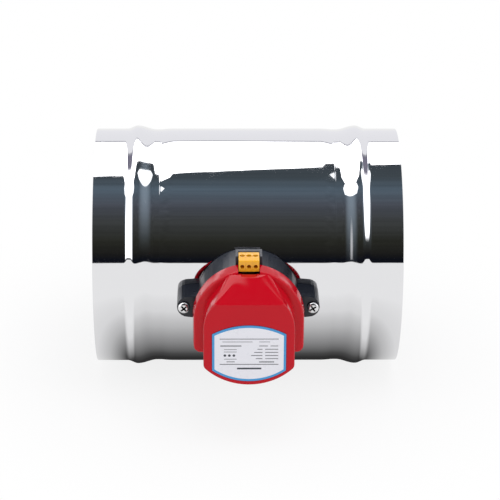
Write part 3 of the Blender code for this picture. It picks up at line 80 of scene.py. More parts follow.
def add_object(name, mesh, matrix, body="housing"):
    piece = bpy.data.objects.new(name, mesh)
    scene.collection.objects.link(piece)
    piece.matrix_world = matrix
    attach(piece, body)
    return piece


def smooth(mesh, angle):
    """Smooth shading, with the edges sharper than an angle in degrees kept sharp."""
    mesh.shade_smooth()
    mesh.set_sharp_from_angle(angle=math.radians(angle))
    return mesh


def mesh_of(name, shape, angle=30.0):
    bmesh.ops.recalc_face_normals(shape, faces=shape.faces)
    mesh = bpy.data.meshes.new(name)
    shape.to_mesh(mesh)
    shape.free()
    return smooth(mesh, angle)


def arc(centre, radius, start, end, steps):
    points = []
    for i in range(steps + 1):
        angle = start + (end - start) * i / steps
        points.append((centre[0] + radius * math.cos(angle), centre[1] + radius * math.sin(angle)))
    return points


def mirrored(right_half):
    return right_half + [(-x, y) for x, y in reversed(right_half) if x > 1e-9]


def join_rings(shape, lower, upper):
    """Faces between two closed rings, without the corners that fall together."""
    for i in range(len(lower)):
        j = (i + 1) % len(lower)
        corners = []
        for corner in (lower[i], lower[j], upper[j], upper[i]):
            if corner not in corners:
                corners.append(corner)
        if len(corners) > 2:
            shape.faces.new(corners)


def stack(name, rings_of_points):
    """A closed body through rings of points in space, all of one count."""
    shape = bmesh.new()
    rings = [[shape.verts.new(point) for point in points] for points in rings_of_points]
    for lower, upper in zip(rings, rings[1:]):
        join_rings(shape, lower, upper)
    shape.faces.new(list(reversed(rings[0])))
    shape.faces.new(rings[-1])
    return mesh_of(name, shape)


def loft(name, sections):
    """A closed body through outlines of equal counts, each with its own height."""
    return stack(name, [[(x, y, height) for x, y in outline] for outline, height in sections])


def lathe(name, profile, steps, close=False, angle=30.0):
    """A profile of (radius, height) turned about z."""
    shape = bmesh.new()
    rings = []
    for radius, height in profile:
        if radius < 1e-7:
            rings.append([shape.verts.new((0.0, 0.0, height))] * steps)
            continue
        ring = []
        for i in range(steps):
            turn = 2 * math.pi * i / steps
            ring.append(shape.verts.new((radius * math.cos(turn), radius * math.sin(turn), height)))
        rings.append(ring)
    if close:
        rings.append(rings[0])
    for lower, upper in zip(rings, rings[1:]):
        join_rings(shape, lower, upper)
    return mesh_of(name, shape, angle)


def slab(name, outlines, low, high):
    """A flat plate of the first outline, with the other outlines as holes."""
    curve = bpy.data.curves.new(name, "CURVE")
    curve.dimensions = "2D"
    curve.fill_mode = "BOTH"
    curve.extrude = (high - low) / 2
    for outline in outlines:
        spline = curve.splines.new("POLY")
        spline.points.add(len(outline) - 1)
        for point, (x, y) in zip(spline.points, outline):
            point.co = (x, y, 0.0, 1.0)
        spline.use_cyclic_u = True
    filled = applied(bpy.data.objects.new(name + "_outline", curve))
    shape = bmesh.new()
    shape.from_mesh(filled)
    bpy.data.meshes.remove(filled)
    bmesh.ops.remove_doubles(shape, verts=shape.verts, dist=1e-6)
    bmesh.ops.translate(shape, vec=(0.0, 0.0, (low + high) / 2), verts=shape.verts)
    return mesh_of(name, shape)


def box_mesh(name, *ranges):
    """A box with a low and a high end along x, y and z."""
    shape = bmesh.new()
    bmesh.ops.create_cube(shape, size=1.0)
    bmesh.ops.scale(shape, vec=[b - a for a, b in ranges], verts=shape.verts)
    bmesh.ops.translate(shape, vec=[(a + b) / 2 for a, b in ranges], verts=shape.verts)
    return mesh_of(name, shape)


def rod_mesh(name, start, end, radius, steps):
    start, end = Vector(start), Vector(end)
    shape = bmesh.new()
    bmesh.ops.create_cone(
        shape, cap_ends=True, segments=steps, radius1=radius, radius2=radius,
        depth=(end - start).length,
    )
    turn = Vector((0.0, 0.0, 1.0)).rotation_difference(end - start).to_matrix().to_4x4()
    place = Matrix.Translation((start + end) / 2) @ turn
    bmesh.ops.transform(shape, matrix=place, verts=shape.verts)
    return mesh_of(name, shape)


def applied(target, *helpers):
    """The mesh that an object gives with its modifiers; the objects are removed again."""
    for item in (target, *helpers):
        scene.collection.objects.link(item)
    bpy.context.view_layer.update()
    evaluated = target.evaluated_get(bpy.context.evaluated_depsgraph_get())
    made = bpy.data.meshes.new_from_object(evaluated)
    for item in (target, *helpers):
        bpy.data.objects.remove(item)
    return made


def boolean(mesh, other, operation="DIFFERENCE"):
    """The first mesh with the other cut from it or joined to it."""
    target = bpy.data.objects.new("target", mesh)
    tool = bpy.data.objects.new("tool", other)
    step = target.modifiers.new("step", "BOOLEAN")
    step.operation = operation
    step.solver = "EXACT"
    step.object = tool
    return applied(target, tool)


def bevelled(mesh, width, segments, angle):
    target = bpy.data.objects.new("target", mesh)
    step = target.modifiers.new("step", "BEVEL")
    step.width = width
    step.segments = segments
    step.limit_method = "ANGLE"
    step.angle_limit = math.radians(angle)
    step.use_clamp_overlap = True
    return applied(target)


# Materials


class Nodes:
    """Short calls for a node tree, where a value is a number, a colour or an output."""

    def __init__(self, tree, space="Object"):
        self.tree = tree
        self.coordinates = self.add("ShaderNodeTexCoord").outputs[space]

    def add(self, kind, **settings):
        node = self.tree.nodes.new(kind)
        for key, value in settings.items():
            setattr(node, key, value)
        return node

    def link(self, output, socket):
        self.tree.links.new(output, socket)

    def put(self, value, socket):
        if isinstance(value, tuple):
            socket.default_value = (*value, 1.0)
        elif isinstance(value, (int, float)):
            socket.default_value = value
        else:
            self.link(value, socket)

    def math(self, operation, *values):
        node = self.add("ShaderNodeMath", operation=operation)
        for value, socket in zip(values, node.inputs):
            self.put(value, socket)
        return node.outputs[0]

    def product(self, first, second):
        return self.math("MULTIPLY", first, second)

    def line(self, value, slope, start):
        return self.math("MULTIPLY_ADD", value, slope, start)

    def rest(self, share):
        return self.math("SUBTRACT", 1.0, share)

    def past(self, value, edge):
        """How far a value is past an edge, or 0 before it."""
        return self.math("MAXIMUM", self.math("SUBTRACT", value, edge), 0.0)

    def mix(self, factor, first, second):
        node = self.add("ShaderNodeMix", data_type="RGBA")
        self.link(factor, node.inputs["Factor"])
        sockets = [s for s in node.inputs if s.type == "RGBA"]
        for value, socket in zip((first, second), sockets):
            self.put(value, socket)
        return [s for s in node.outputs if s.type == "RGBA"][0]

    def remap(self, value, low, high, to_low=0.0, to_high=1.0, **settings):
        node = self.add("ShaderNodeMapRange", **settings)
        ends = {"From Min": low, "From Max": high, "To Min": to_low, "To Max": to_high}
        for key, end in ends.items():
            node.inputs[key].default_value = end
        self.link(value, node.inputs["Value"])
        return node.outputs["Result"]

    def step(self, value, edge, width):
        """0 below the edge and 1 above it, over a soft width."""
        over = self.math("SUBTRACT", value, edge)
        return self.remap(over, -width / 2, width / 2, interpolation_type="SMOOTHSTEP")

    def ramp(self, value, stops):
        """A colour by place, from stops of a place and a colour."""
        node = self.add("ShaderNodeValToRGB")
        self.link(value, node.inputs[0])
        elements = node.color_ramp.elements
        while len(elements) < len(stops):
            elements.new(0.5)
        for element, (place, colour) in zip(elements, stops):
            element.position = place
            element.color = (*colour, 1.0)
        return node.outputs["Color"]

    def parts(self, vector):
        node = self.add("ShaderNodeSeparateXYZ")
        self.link(vector, node.inputs[0])
        return node.outputs

    def noise(self, scale, detail=2.0, stretch=(1.0, 1.0, 1.0), roughness=0.5, distortion=0.0):
        """Noise with a scale in cycles per metre, longer along an axis with a number below 1."""
        mapping = self.add("ShaderNodeMapping")
        mapping.inputs["Scale"].default_value = stretch
        self.link(self.coordinates, mapping.inputs["Vector"])
        node = self.add("ShaderNodeTexNoise")
        node.inputs["Scale"].default_value = scale
        node.inputs["Detail"].default_value = detail
        node.inputs["Roughness"].default_value = roughness
        node.inputs["Distortion"].default_value = distortion
        self.link(mapping.outputs["Vector"], node.inputs["Vector"])
        return node.outputs["Fac"]

    def wave(self, scale, axis):
        node = self.add("ShaderNodeTexWave", bands_direction=axis)
        node.inputs["Scale"].default_value = scale
        self.link(self.coordinates, node.inputs["Vector"])
        return node.outputs["Fac"]


class Surface(Nodes):
    """A material with a Principled shader."""

    def __init__(self, name, colour, roughness, metallic=0.0, **sockets):
        self.material = bpy.data.materials.new(name)
        self.material.use_nodes = True
        super().__init__(self.material.node_tree)
        self.shader = self.tree.nodes["Principled BSDF"]
        self.set(Base_Color=(*colour, 1.0), Roughness=roughness, Metallic=metallic, **sockets)
        self.last_normal = None

    def set(self, **sockets):
        for key, value in sockets.items():
            self.shader.inputs[key.replace("_", " ")].default_value = value

    def bump(self, output, strength, distance):
        node = self.add("ShaderNodeBump")
        node.inputs["Strength"].default_value = strength
        node.inputs["Distance"].default_value = distance
        self.link(output, node.inputs["Height"])
        if self.last_normal:
            self.link(self.last_normal, node.inputs["Normal"])
        self.last_normal = node.outputs["Normal"]
        self.link(self.last_normal, self.shader.inputs["Normal"])

    def roughness(self, output):
        self.link(output, self.shader.inputs["Roughness"])

    def colour(self, output):
        self.link(output, self.shader.inputs["Base Color"])


def rolled_steel(name, colour=(0.83, 0.83, 0.845), low=0.025, high=0.10):
    """Mirror-polished sheet, with the fine grain of rolling, faint smears and dust."""
    dust_colour = (0.98, 0.98, 1.0)
    made = Surface(name, colour, low, metallic=1.0)
    smear = made.noise(22.0, detail=3.0, stretch=(1.0, 1.0, 2.4), roughness=0.6, distortion=0.6)
    made.roughness(made.remap(smear, 0.45, 0.85, low, high))
    unevenness = made.noise(9.0, detail=1.0, stretch=(1.0, 1.0, 0.7))
    grain = made.noise(900.0, stretch=(1.0, 1.0, 0.03))
    made.bump(unevenness, strength=0.10, distance=0.0006)
    made.bump(grain, strength=0.015, distance=0.0001)
    dust = made.remap(made.noise(2600.0, detail=1.0), 0.70, 0.74)
    patch = made.remap(made.noise(38.0), 0.50, 0.64, 0.0, 0.5)
    made.colour(made.mix(made.product(dust, patch), colour, dust_colour))
    return made.material


def machined(name, colour, roughness=0.28):
    """Turned or plated metal with fine marks."""
    grain = 1400.0
    made = Surface(name, colour, roughness, metallic=1.0)
    wear = made.noise(grain / 6, detail=3.0)
    made.roughness(made.remap(wear, 0.3, 0.75, 0.7 * roughness, 1.35 * roughness))
    made.bump(made.noise(grain, stretch=(1.0, 1.0, 0.12)), strength=0.08, distance=0.0001)
    made.colour(made.mix(made.noise(160.0), colour, tuple(0.88 * c for c in colour)))
    return made.material


def moulded(name, colour, roughness, texture=0.05, darker=0.9, **sockets):
    """Moulded plastic with a fine surface texture and faint flow marks."""
    made = Surface(name, colour, roughness, **sockets)
    gloss = made.noise(260.0, detail=3.0)
    made.roughness(made.remap(gloss, 0.3, 0.75, 0.82 * roughness, 1.25 * roughness))
    made.bump(made.noise(3200.0), texture, distance=0.00008)
    made.bump(made.noise(70.0), strength=0.03, distance=0.0004)
    made.colour(made.mix(made.noise(45.0), colour, tuple(darker * c for c in colour)))
    return made.material


def wound_copper():
    colour, tarnish = (0.66, 0.27, 0.11), (0.48, 0.17, 0.06)
    made = Surface("wound_copper", colour, 0.30, metallic=1.0)
    made.bump(made.wave(700.0, "Z"), strength=0.7, distance=0.0003)
    made.colour(made.mix(made.noise(400.0), colour, tarnish))
    return made.material


def solder_board():
    colour, track_colour = (0.03, 0.16, 0.07), (0.05, 0.27, 0.11)
    made = Surface("solder_board", colour, 0.35)
    tracks = made.remap(made.noise(420.0, detail=0.0, stretch=(1.0, 0.2, 1.0)), 0.52, 0.54)
    made.colour(made.mix(tracks, colour, track_colour))
    made.bump(tracks, strength=0.2, distance=0.0001)
    return made.material


polished = rolled_steel("polished_duct_steel")
pressed = rolled_steel("pressed_blade_steel", (0.76, 0.765, 0.78), 0.08, 0.20)
bright = machined("bright_steel", (0.74, 0.745, 0.76), 0.18)
screw_steel = machined("screw_steel", (0.84, 0.84, 0.85), 0.26)
# Near-black steel that paints the shade inside the screws' cross recesses
painted_shade_steel = machined("painted_shade_steel", (0.030, 0.030, 0.035), 0.55)
plated = machined("plated_steel", (0.60, 0.60, 0.585), 0.34)
brass = machined("cut_brass", (0.80, 0.60, 0.27), 0.27)
black = moulded("black_moulding", (0.0075, 0.0100, 0.0180), 0.32)
red = moulded(
    "red_moulding", (0.560, 0.0008, 0.0110), 0.12, 0.02, 0.95, Specular_IOR_Level=0.27
)
yellow = moulded("yellow_moulding", (0.95, 0.47, 0.022), 0.24, 0.04, 0.94)
nylon = moulded("natural_nylon", (0.74, 0.71, 0.63), 0.45, 0.06, 0.92, Subsurface_Weight=0.1)
acetal = moulded("white_acetal", (0.84, 0.83, 0.78), 0.38, 0.05, 0.95)
rubber = moulded("black_rubber", (0.016, 0.016, 0.018), 0.62, 0.25, 0.8)
dark = moulded("dark_plastic", (0.022, 0.022, 0.026), 0.42, 0.08)
ceramic = moulded("magnet_ceramic", (0.055, 0.050, 0.050), 0.55, 0.2, 0.85)
film = moulded("capacitor_case", (0.72, 0.50, 0.05), 0.36)
lacquer = moulded("resistor_lacquer", (0.26, 0.40, 0.55), 0.32)
button = moulded("switch_button", (0.50, 0.05, 0.03), 0.35)
label_white = moulded("label_white", (0.86, 0.86, 0.91), 0.30, 0.03, 0.985)
label_blue = moulded("label_blue", (0.060, 0.33, 0.68), 0.30, 0.03, 0.95)
label_ink = moulded("label_ink", (0.055, 0.060, 0.075), 0.40, 0.03, 0.9)
copper = wound_copper()
laminate = solder_board()

FINISHES = (
    (pressed, ("blade_plate_left", "blade_plate_right")),
    (bright, (
        "blade_shaft", "blade_rivet_1", "blade_rivet_2", "blade_rivet_3", "blade_rivet_4",
        "shaft_rivet_1", "shaft_rivet_2", "gear_axle_1", "gear_axle_2", "gearbox_post_1",
        "gearbox_post_2", "gearbox_post_3", "rotor_pinion",
    )),
    (plated, (
        "idle_clip", "hub_set_screw", "gearbox_rear_plate", "gearbox_front_plate", "motor_can",
        "stator_poles", "motor_screw_1", "motor_screw_2", "cover_screw_1", "cover_screw_2",
        "terminal_screw_1", "terminal_screw_2", "terminal_screw_3",
    )),
    (brass, ("output_gear", "second_gear")),
    (nylon, ("drive_bush", "idle_bush", "cam_hub", "coil_bobbin")),
    (acetal, ("first_gear",)),
    (rubber, ("blade_seal_upper", "blade_seal_lower")),
    (black, ("actuator_base",)),
    (dark, ("closed_switch_body", "open_switch_body")),
    (button, ("closed_switch_plunger", "open_switch_plunger")),
    (ceramic, ("rotor_magnet",)),
    (copper, ("coil_winding",)),
    (laminate, ("circuit_board",)),
    (film, ("film_capacitor",)),
    (lacquer, ("drop_resistor",)),
)


def dress(piece, material):
    piece.data.materials.clear()
    piece.data.materials.append(material)


for material, members in FINISHES:
    for name in members:
        dress(nodes[name], material)


# Duct

# Places along the duct from its middle, and what changes there
BEAD_END = 0.0768
BEAD_START = 0.0575
ROLL_MARK = 0.0545
GROOVE_START = 0.0465
BEAD_HEIGHT = 0.0020
GROOVE_DEPTH = 0.0005
MARK_HEIGHT = 0.00005
MARK_HALF_WIDTH = 0.0004
END_ROUNDING = 0.00015
# Runs of stations along half of the duct, each from and to a place with a count
STATIONS = (
    (0.0770, 0.0575, 53), (0.0565, 0.0565, 1), (0.0552, 0.0540, 9), (0.0535, 0.0465, 9),
    (0.0350, 0.0200, 2),
)


def rise(share):
    """From 0 to 1 with level ends."""
    share = min(max(share, 0.0), 1.0)
    return 0.5 - 0.5 * math.cos(math.pi * share)


def ramp(share, bend=0.3):
    """From 0 to 1 on a straight line with a rounded bend at each end."""
    share = min(max(share, 0.0), 1.0)
    nearest = min(share, 1.0 - share)
    risen = nearest - bend / 2
    if nearest < bend:
        risen = nearest**2 / (2 * bend)
    risen /= 1.0 - bend
    return risen if share < 0.5 else 1.0 - risen


def duct_radius_at(x):
    """A bead, a flat groove inside it, a fine roll mark and a slow rise to the full size."""
    place = abs(x)
    if place > BEAD:
        return DUCT_RADIUS + BEAD_HEIGHT * ramp((BEAD_END - place) / (BEAD_END - BEAD))
    mark = MARK_HEIGHT * rise(1.0 - abs(place - ROLL_MARK) / MARK_HALF_WIDTH)
    if place > ROLL_MARK:
        risen = rise((place - BEAD_START) / (BEAD - BEAD_START))
        return DUCT_RADIUS - GROOVE_DEPTH + (BEAD_HEIGHT + GROOVE_DEPTH) * risen + mark
    sunk = max((place - GROOVE_START) / (ROLL_MARK - GROOVE_START), 0.0) ** 2
    return DUCT_RADIUS - GROOVE_DEPTH * sunk + mark


def duct_profile():
    """The tube's wall as one closed outline, outside from right to left and back inside."""
    half = DUCT_LENGTH / 2
    outer, inner = DUCT_RADIUS - END_ROUNDING, DUCT_RADIUS - DUCT_WALL + END_ROUNDING
    stations = [half - END_ROUNDING]
    for start, end, count in STATIONS:
        stations += list(np.linspace(start, end, count))
    stations = stations + [0.0] + [-x for x in reversed(stations)]
    outside = [(duct_radius_at(x), x) for x in stations]
    inside = [(duct_radius_at(x) - DUCT_WALL, x) for x in reversed(stations[::3])]
    return outside + [(outer, -half), (inner, -half)] + inside + [(inner, half), (outer, half)]


def make_duct():
    mesh = lathe("duct_sheet", duct_profile(), steps=192, close=True, angle=25.0)
    tube = add_object("duct_sheet", mesh, DUCT)
    dress(tube, polished)
    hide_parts("duct_tube")


make_duct()


# Actuator cover

# Plan of the skirt: a half circle above, straight sides and rounded corners below
SKIRT_RADIUS = 0.0339
SKIRT_CORNER = 0.0050
SKIRT_CORNER_HEIGHT = -0.0169
SKIRT_DRAFT = 0.0007
# The skirt and front are made this much too deep, then trimmed at the base's rim
TRIMMED_DEPTH = 0.0093

# Plan of the raised front: an arch with straight flanks and a flat top on the shoulder,
# an arch that ends in a crease on the face, and a wide low curve below both
FRONT_SIDE = 0.0276
FRONT_LOW = -0.0345
FRONT_LOW_RADIUS = 0.0380
FRONT_LOW_CORNER = 0.0042
ARCH_HEIGHT = 0.0020
FLANK_TURN = math.radians(38.5)
FRONT_TOP = 0.0310
FRONT_TOP_CORNER = 0.0070
CREASE = 0.0193
FACE_DRAFT = 0.0003
# Half width, height and level of the edges that round the slope's top
ROUNDED_TOP = ((0.0076, 0.0306, 0.1150), (0.0072, 0.0296, 0.1172))

BOSS_RADIUS, BOSS_LEVEL = 0.0032, 0.1000
PILOT_RADIUS, PILOT_LOW, PILOT_HIGH = 0.00165, 0.0980, 0.1093
NOTCH_HALF, NOTCH_FLOOR = 0.0065, 0.0306
WIRE_NOTCH_WIDE, WIRE_NOTCH_NARROW = 0.00558, 0.00434
WIRE_NOTCH_FLOOR, WIRE_NOTCH_KNEE, WIRE_NOTCH_TOP = 0.0303, 0.0316, 0.0600
LABEL_RECESS = 0.0004


def skirt_outline(inset):
    radius, corner = SKIRT_RADIUS - inset, SKIRT_CORNER - inset
    right = [(0.0, SKIRT_CORNER_HEIGHT - corner)]
    right += arc((radius - corner, SKIRT_CORNER_HEIGHT), corner, -QUARTER, 0.0, steps=12)
    right += arc((0.0, 0.0), radius, 0.0, QUARTER, steps=40)
    return mirrored(right)


def low_sides(inset):
    """The right half of the wide low curve, up to where the side is straight."""
    side = FRONT_SIDE - inset
    radius, centre = FRONT_LOW_RADIUS - inset, FRONT_LOW + FRONT_LOW_RADIUS
    corner = FRONT_LOW_CORNER - inset / 2
    corner_x = side - corner
    corner_y = centre - math.sqrt((radius - corner) ** 2 - corner_x**2)
    meeting = math.atan2(corner_y - centre, corner_x)
    right = arc((0.0, centre), radius, -QUARTER, meeting, steps=18)
    return right + arc((corner_x, corner_y), corner, meeting, 0.0, steps=10)[1:]


def foot_outline(inset):
    """The raised front's plan on the shoulder."""
    corner_y = FRONT_TOP - FRONT_TOP_CORNER
    across = FRONT_SIDE - FRONT_TOP_CORNER - (corner_y - ARCH_HEIGHT) * math.sin(FLANK_TURN)
    corner_x = across / math.cos(FLANK_TURN)
    radius = FRONT_TOP_CORNER - inset
    right = low_sides(inset)
    right += arc((0.0, ARCH_HEIGHT), FRONT_SIDE - inset, 0.0, FLANK_TURN, steps=14)
    right += arc((corner_x, corner_y), radius, FLANK_TURN, QUARTER, steps=14)
    return mirrored(right)


def face_outline(inset, crease):
    """The raised front's plan on its face, up to the crease."""
    side = FRONT_SIDE - FACE_DRAFT - inset
    end = math.asin((crease - ARCH_HEIGHT) / side)
    arch = arc((0.0, ARCH_HEIGHT), side, 0.0, end, steps=16)
    return mirrored(low_sides(FACE_DRAFT + inset) + arch)


def raised_front(inset, rear):
    """The hull of the foot, the face and the rounded top."""
    slope = math.atan2(FACE - SHOULDER, FRONT_TOP - CREASE)
    foot = foot_outline(inset)
    foot_level = SHOULDER - inset * math.tan((QUARTER - slope) / 2)
    face = face_outline(inset, CREASE - inset * math.tan(slope / 2))
    sections = [(foot, rear), (foot, foot_level), (face, FACE - inset)]
    for half, y, height in ROUNDED_TOP:
        sections.append(([(-half, y - inset), (half, y - inset)], height - inset))
    shape = bmesh.new()
    for outline, height in sections:
        for x, y in outline:
            shape.verts.new((x, y, height))
    made = bmesh.ops.convex_hull(shape, input=shape.verts)
    inside = [item for item in made["geom_interior"] if isinstance(item, bmesh.types.BMVert)]
    bmesh.ops.delete(shape, geom=inside, context="VERTS")
    bmesh.ops.dissolve_limit(shape, angle_limit=0.003, verts=shape.verts, edges=shape.edges)
    return mesh_of("raised_front", shape)


def make_cover():
    below = BASE_RIM - TRIMMED_DEPTH
    wide_end, narrow_end = skirt_outline(-SKIRT_DRAFT), skirt_outline(SKIRT_DRAFT)
    skirt = loft("skirt", [(wide_end, below), (narrow_end, SHOULDER)])
    skirt = bevelled(skirt, width=0.0014, segments=8, angle=40.0)
    body = bevelled(raised_front(0.0, below), width=0.0012, segments=8, angle=60.0)
    body = bevelled(body, width=0.0004, segments=3, angle=20.0)
    cover = boolean(skirt, body, "UNION")
    wide = (-FAR, FAR)
    cover = boolean(cover, box_mesh("trim", wide, wide, (0.0, BASE_RIM)))
    inner, low = skirt_outline(COVER_WALL), BASE_RIM - COVER_WALL
    cover = boolean(cover, loft("hollow", [(inner, low), (inner, SHOULDER - COVER_WALL)]))
    cover = boolean(cover, raised_front(COVER_WALL, low))
    for x, y in COVER_SCREWS:
        top = (x, y, FACE - 2 * COVER_WALL)
        boss = rod_mesh("boss", (x, y, BOSS_LEVEL), top, BOSS_RADIUS, steps=24)
        pilot = rod_mesh("pilot", (x, y, PILOT_LOW), (x, y, PILOT_HIGH), PILOT_RADIUS, steps=16)
        cover = boolean(boolean(cover, boss, "UNION"), pilot)
    across, up = (-NOTCH_HALF, NOTCH_HALF), (NOTCH_FLOOR, FAR)
    cover = boolean(cover, box_mesh("notch", across, up, (0.0, SHOULDER + SEAT_GAP)))
    outline = [
        (-WIRE_NOTCH_NARROW, WIRE_NOTCH_FLOOR), (WIRE_NOTCH_NARROW, WIRE_NOTCH_FLOOR),
        (WIRE_NOTCH_WIDE, WIRE_NOTCH_KNEE), (WIRE_NOTCH_WIDE, WIRE_NOTCH_TOP),
        (-WIRE_NOTCH_WIDE, WIRE_NOTCH_TOP), (-WIRE_NOTCH_WIDE, WIRE_NOTCH_KNEE),
    ]
    cover = boolean(cover, slab("wire_notch", [outline], BASE_RIM, FACE))
    place = label_outline(SEAT_GAP)
    cover = boolean(cover, slab("recess", [place], FACE - LABEL_RECESS, FACE + COVER_WALL))
    piece = add_object("cover_shell", smooth(cover, 14.0), ACTUATOR)
    dress(piece, red)
    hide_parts("actuator_cover")


# Label

LABEL_SIDE = 0.0221
LABEL_LOW, LABEL_LOW_RISE = -0.0312, 0.0072
LABEL_TOP, LABEL_TOP_RISE = 0.0058, 0.0058
LABEL_BORDER = 0.0014
LABEL_THICKNESS = 0.0004
LABEL_SINK = 0.0001
PANEL_STEP = 0.00002
INK_DEPTH, INK_HEIGHT = 0.00004, 0.00001

# Each bar's left and right end, height and thickness
LABEL_BARS = (
    (-0.0176, 0.0176, -0.0030, 0.00042),
    (-0.0176, 0.0176, -0.0199, 0.00042),
    (-0.0160, 0.0020, -0.0049, 0.00030),
    (0.0060, 0.0125, -0.0049, 0.00030),
    (-0.0172, -0.0046, -0.0076, 0.00060),
    (-0.0150, -0.0074, -0.0100, 0.00030),
    (-0.0150, -0.0074, -0.0116, 0.00030),
    (-0.0150, -0.0074, -0.0164, 0.00030),
    (-0.0135, -0.0086, -0.0182, 0.00042),
    (0.0060, 0.0112, -0.0076, 0.00042),
    (0.0128, 0.0174, -0.0076, 0.00042),
    (0.0050, 0.0080, -0.0098, 0.00042),
    (0.0096, 0.0174, -0.0098, 0.00042),
    (0.0030, 0.0080, -0.0119, 0.00042),
    (0.0096, 0.0174, -0.0119, 0.00042),
    (0.0012, 0.0080, -0.0140, 0.00042),
    (0.0096, 0.0174, -0.0140, 0.00042),
    (0.0040, 0.0080, -0.0161, 0.00042),
    (0.0096, 0.0174, -0.0161, 0.00042),
    (0.0060, 0.0150, -0.0183, 0.00060),
    (-0.0072, 0.0074, -0.0227, 0.00110),
)
LABEL_DOTS = (-0.0145, -0.0118, -0.0091)
DOT_HEIGHT, DOT_RADIUS = -0.0140, 0.0008


def label_outline(margin):
    """Straight sides between two wide curves, grown by a margin."""
    side = LABEL_SIDE + margin
    low_radius = (LABEL_SIDE**2 + LABEL_LOW_RISE**2) / (2 * LABEL_LOW_RISE)
    top_radius = (LABEL_SIDE**2 + LABEL_TOP_RISE**2) / (2 * LABEL_TOP_RISE)
    low_centre, top_centre = (0.0, LABEL_LOW + low_radius), (0.0, LABEL_TOP - top_radius)
    low_radius, top_radius = low_radius + margin, top_radius + margin
    low_end = -QUARTER + math.asin(side / low_radius)
    top_start = QUARTER - math.asin(side / top_radius)
    right = arc(low_centre, low_radius, -QUARTER, low_end, steps=24)
    right += arc(top_centre, top_radius, top_start, QUARTER, steps=24)
    return mirrored(right)


def make_label():
    low = FACE - LABEL_SINK
    top = low + LABEL_THICKNESS
    inner = label_outline(-LABEL_BORDER)
    border = slab("label_border", [label_outline(0.0), inner], low, top)
    ring = add_object("label_border", border, ACTUATOR)
    dress(ring, label_blue)
    panel = add_object("label_panel", slab("label_panel", [inner], low, top - PANEL_STEP), ACTUATOR)
    dress(panel, label_white)
    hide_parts("label_plate")
    ink_low, ink_top = top - INK_DEPTH, top + INK_HEIGHT
    shape = bmesh.new()
    for left, right, y, thick in LABEL_BARS:
        height = (y - thick / 2, y + thick / 2)
        shape.from_mesh(box_mesh("bar", (left, right), height, (ink_low, ink_top)))
    for x in LABEL_DOTS:
        ends = ((x, DOT_HEIGHT, ink_low), (x, DOT_HEIGHT, ink_top))
        shape.from_mesh(rod_mesh("dot", *ends, DOT_RADIUS, steps=24))
    rules = add_object("label_rules", mesh_of("label_rules", shape), ACTUATOR)
    dress(rules, label_ink)


make_cover()
make_label()


# Mounting screws

SCREW_RADIUS, HEAD_RADIUS, HEAD_HEIGHT = 0.00175, 0.00355, 0.0024
SCREW_TIP = DUCT_RADIUS - DUCT_WALL - 0.0035


def make_screw(name, node, x, turn):
    """A pan-head screw with a cross recess, whose inside faces carry painted shade."""
    seat, radius, head, height = EAR_FACE + SEAT_GAP, SCREW_RADIUS, HEAD_RADIUS, HEAD_HEIGHT
    top, bottom = seat + height, seat + 0.38 * height
    profile = [(0.0, top)]
    for i in range(1, 10):
        share = i / 9 * QUARTER
        across, up = 0.45 + 0.55 * math.sin(share), 0.45 + 0.55 * math.cos(share)
        profile.append((across * head, seat + up * height))
    profile += [(head, seat + 0.12 * height), (0.97 * head, seat), (radius, seat)]
    profile += [(radius, SCREW_TIP + radius), (0.35 * radius, SCREW_TIP), (0.0, SCREW_TIP)]
    mesh = lathe(name, profile, steps=40, angle=35.0)
    long, half = 0.62 * head, 0.15 * head
    for a, b in ((long, half), (half, long)):
        mesh = boolean(mesh, box_mesh("arm", (-a, a), (-b, b), (bottom, top + height)))
    ends = ((0.0, 0.0, bottom), (0.0, 0.0, top + height))
    mesh = smooth(boolean(mesh, rod_mesh("centre", *ends, 0.26 * head, steps=12)), 35.0)
    mesh.transform(Matrix.Translation((x, 0.0, 0.0)) @ Matrix.Rotation(turn, 4, "Z"))
    piece = add_object(name, mesh, ACTUATOR)
    dress(piece, screw_steel)
    # The faces deep in the cross recess get the near-black steel: painted shade
    mesh.materials.append(painted_shade_steel)
    for face in mesh.polygons:
        middle = face.center - Vector((x, 0.0, 0.0))
        level = (middle.z - seat) / height
        if middle.xy.length < 0.70 * head and 0.30 < level < 0.93:
            face.material_index = 1
    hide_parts(node)


make_screw("pan_head_left", "mount_screw_left", -SCREW_X, math.radians(42))
make_screw("pan_head_right", "mount_screw_right", SCREW_X, math.radians(33))


# Terminal block

TERMINAL_HALF = 0.0062
TERMINAL_LOW, TERMINAL_HIGH = 0.0309, 0.0384
TERMINAL_REAR, TERMINAL_FRONT = 0.0971, 0.1094
TERMINAL_WAYS = (-0.0040, 0.0, 0.0040)
TERMINAL_JOINTS = (-0.0020, 0.0020)
TERMINAL_ROUNDING = 0.0010
TERMINAL_BEVEL = 0.0003
CLAMP_FLOOR, CLAMP_RADIUS = 0.0320, 0.0016
WIRE_RADIUS, WIRE_END = 0.0013, 0.2
JOINT_HALF, JOINT_TOP, JOINT_PAST = 0.00012, 0.05, 0.01


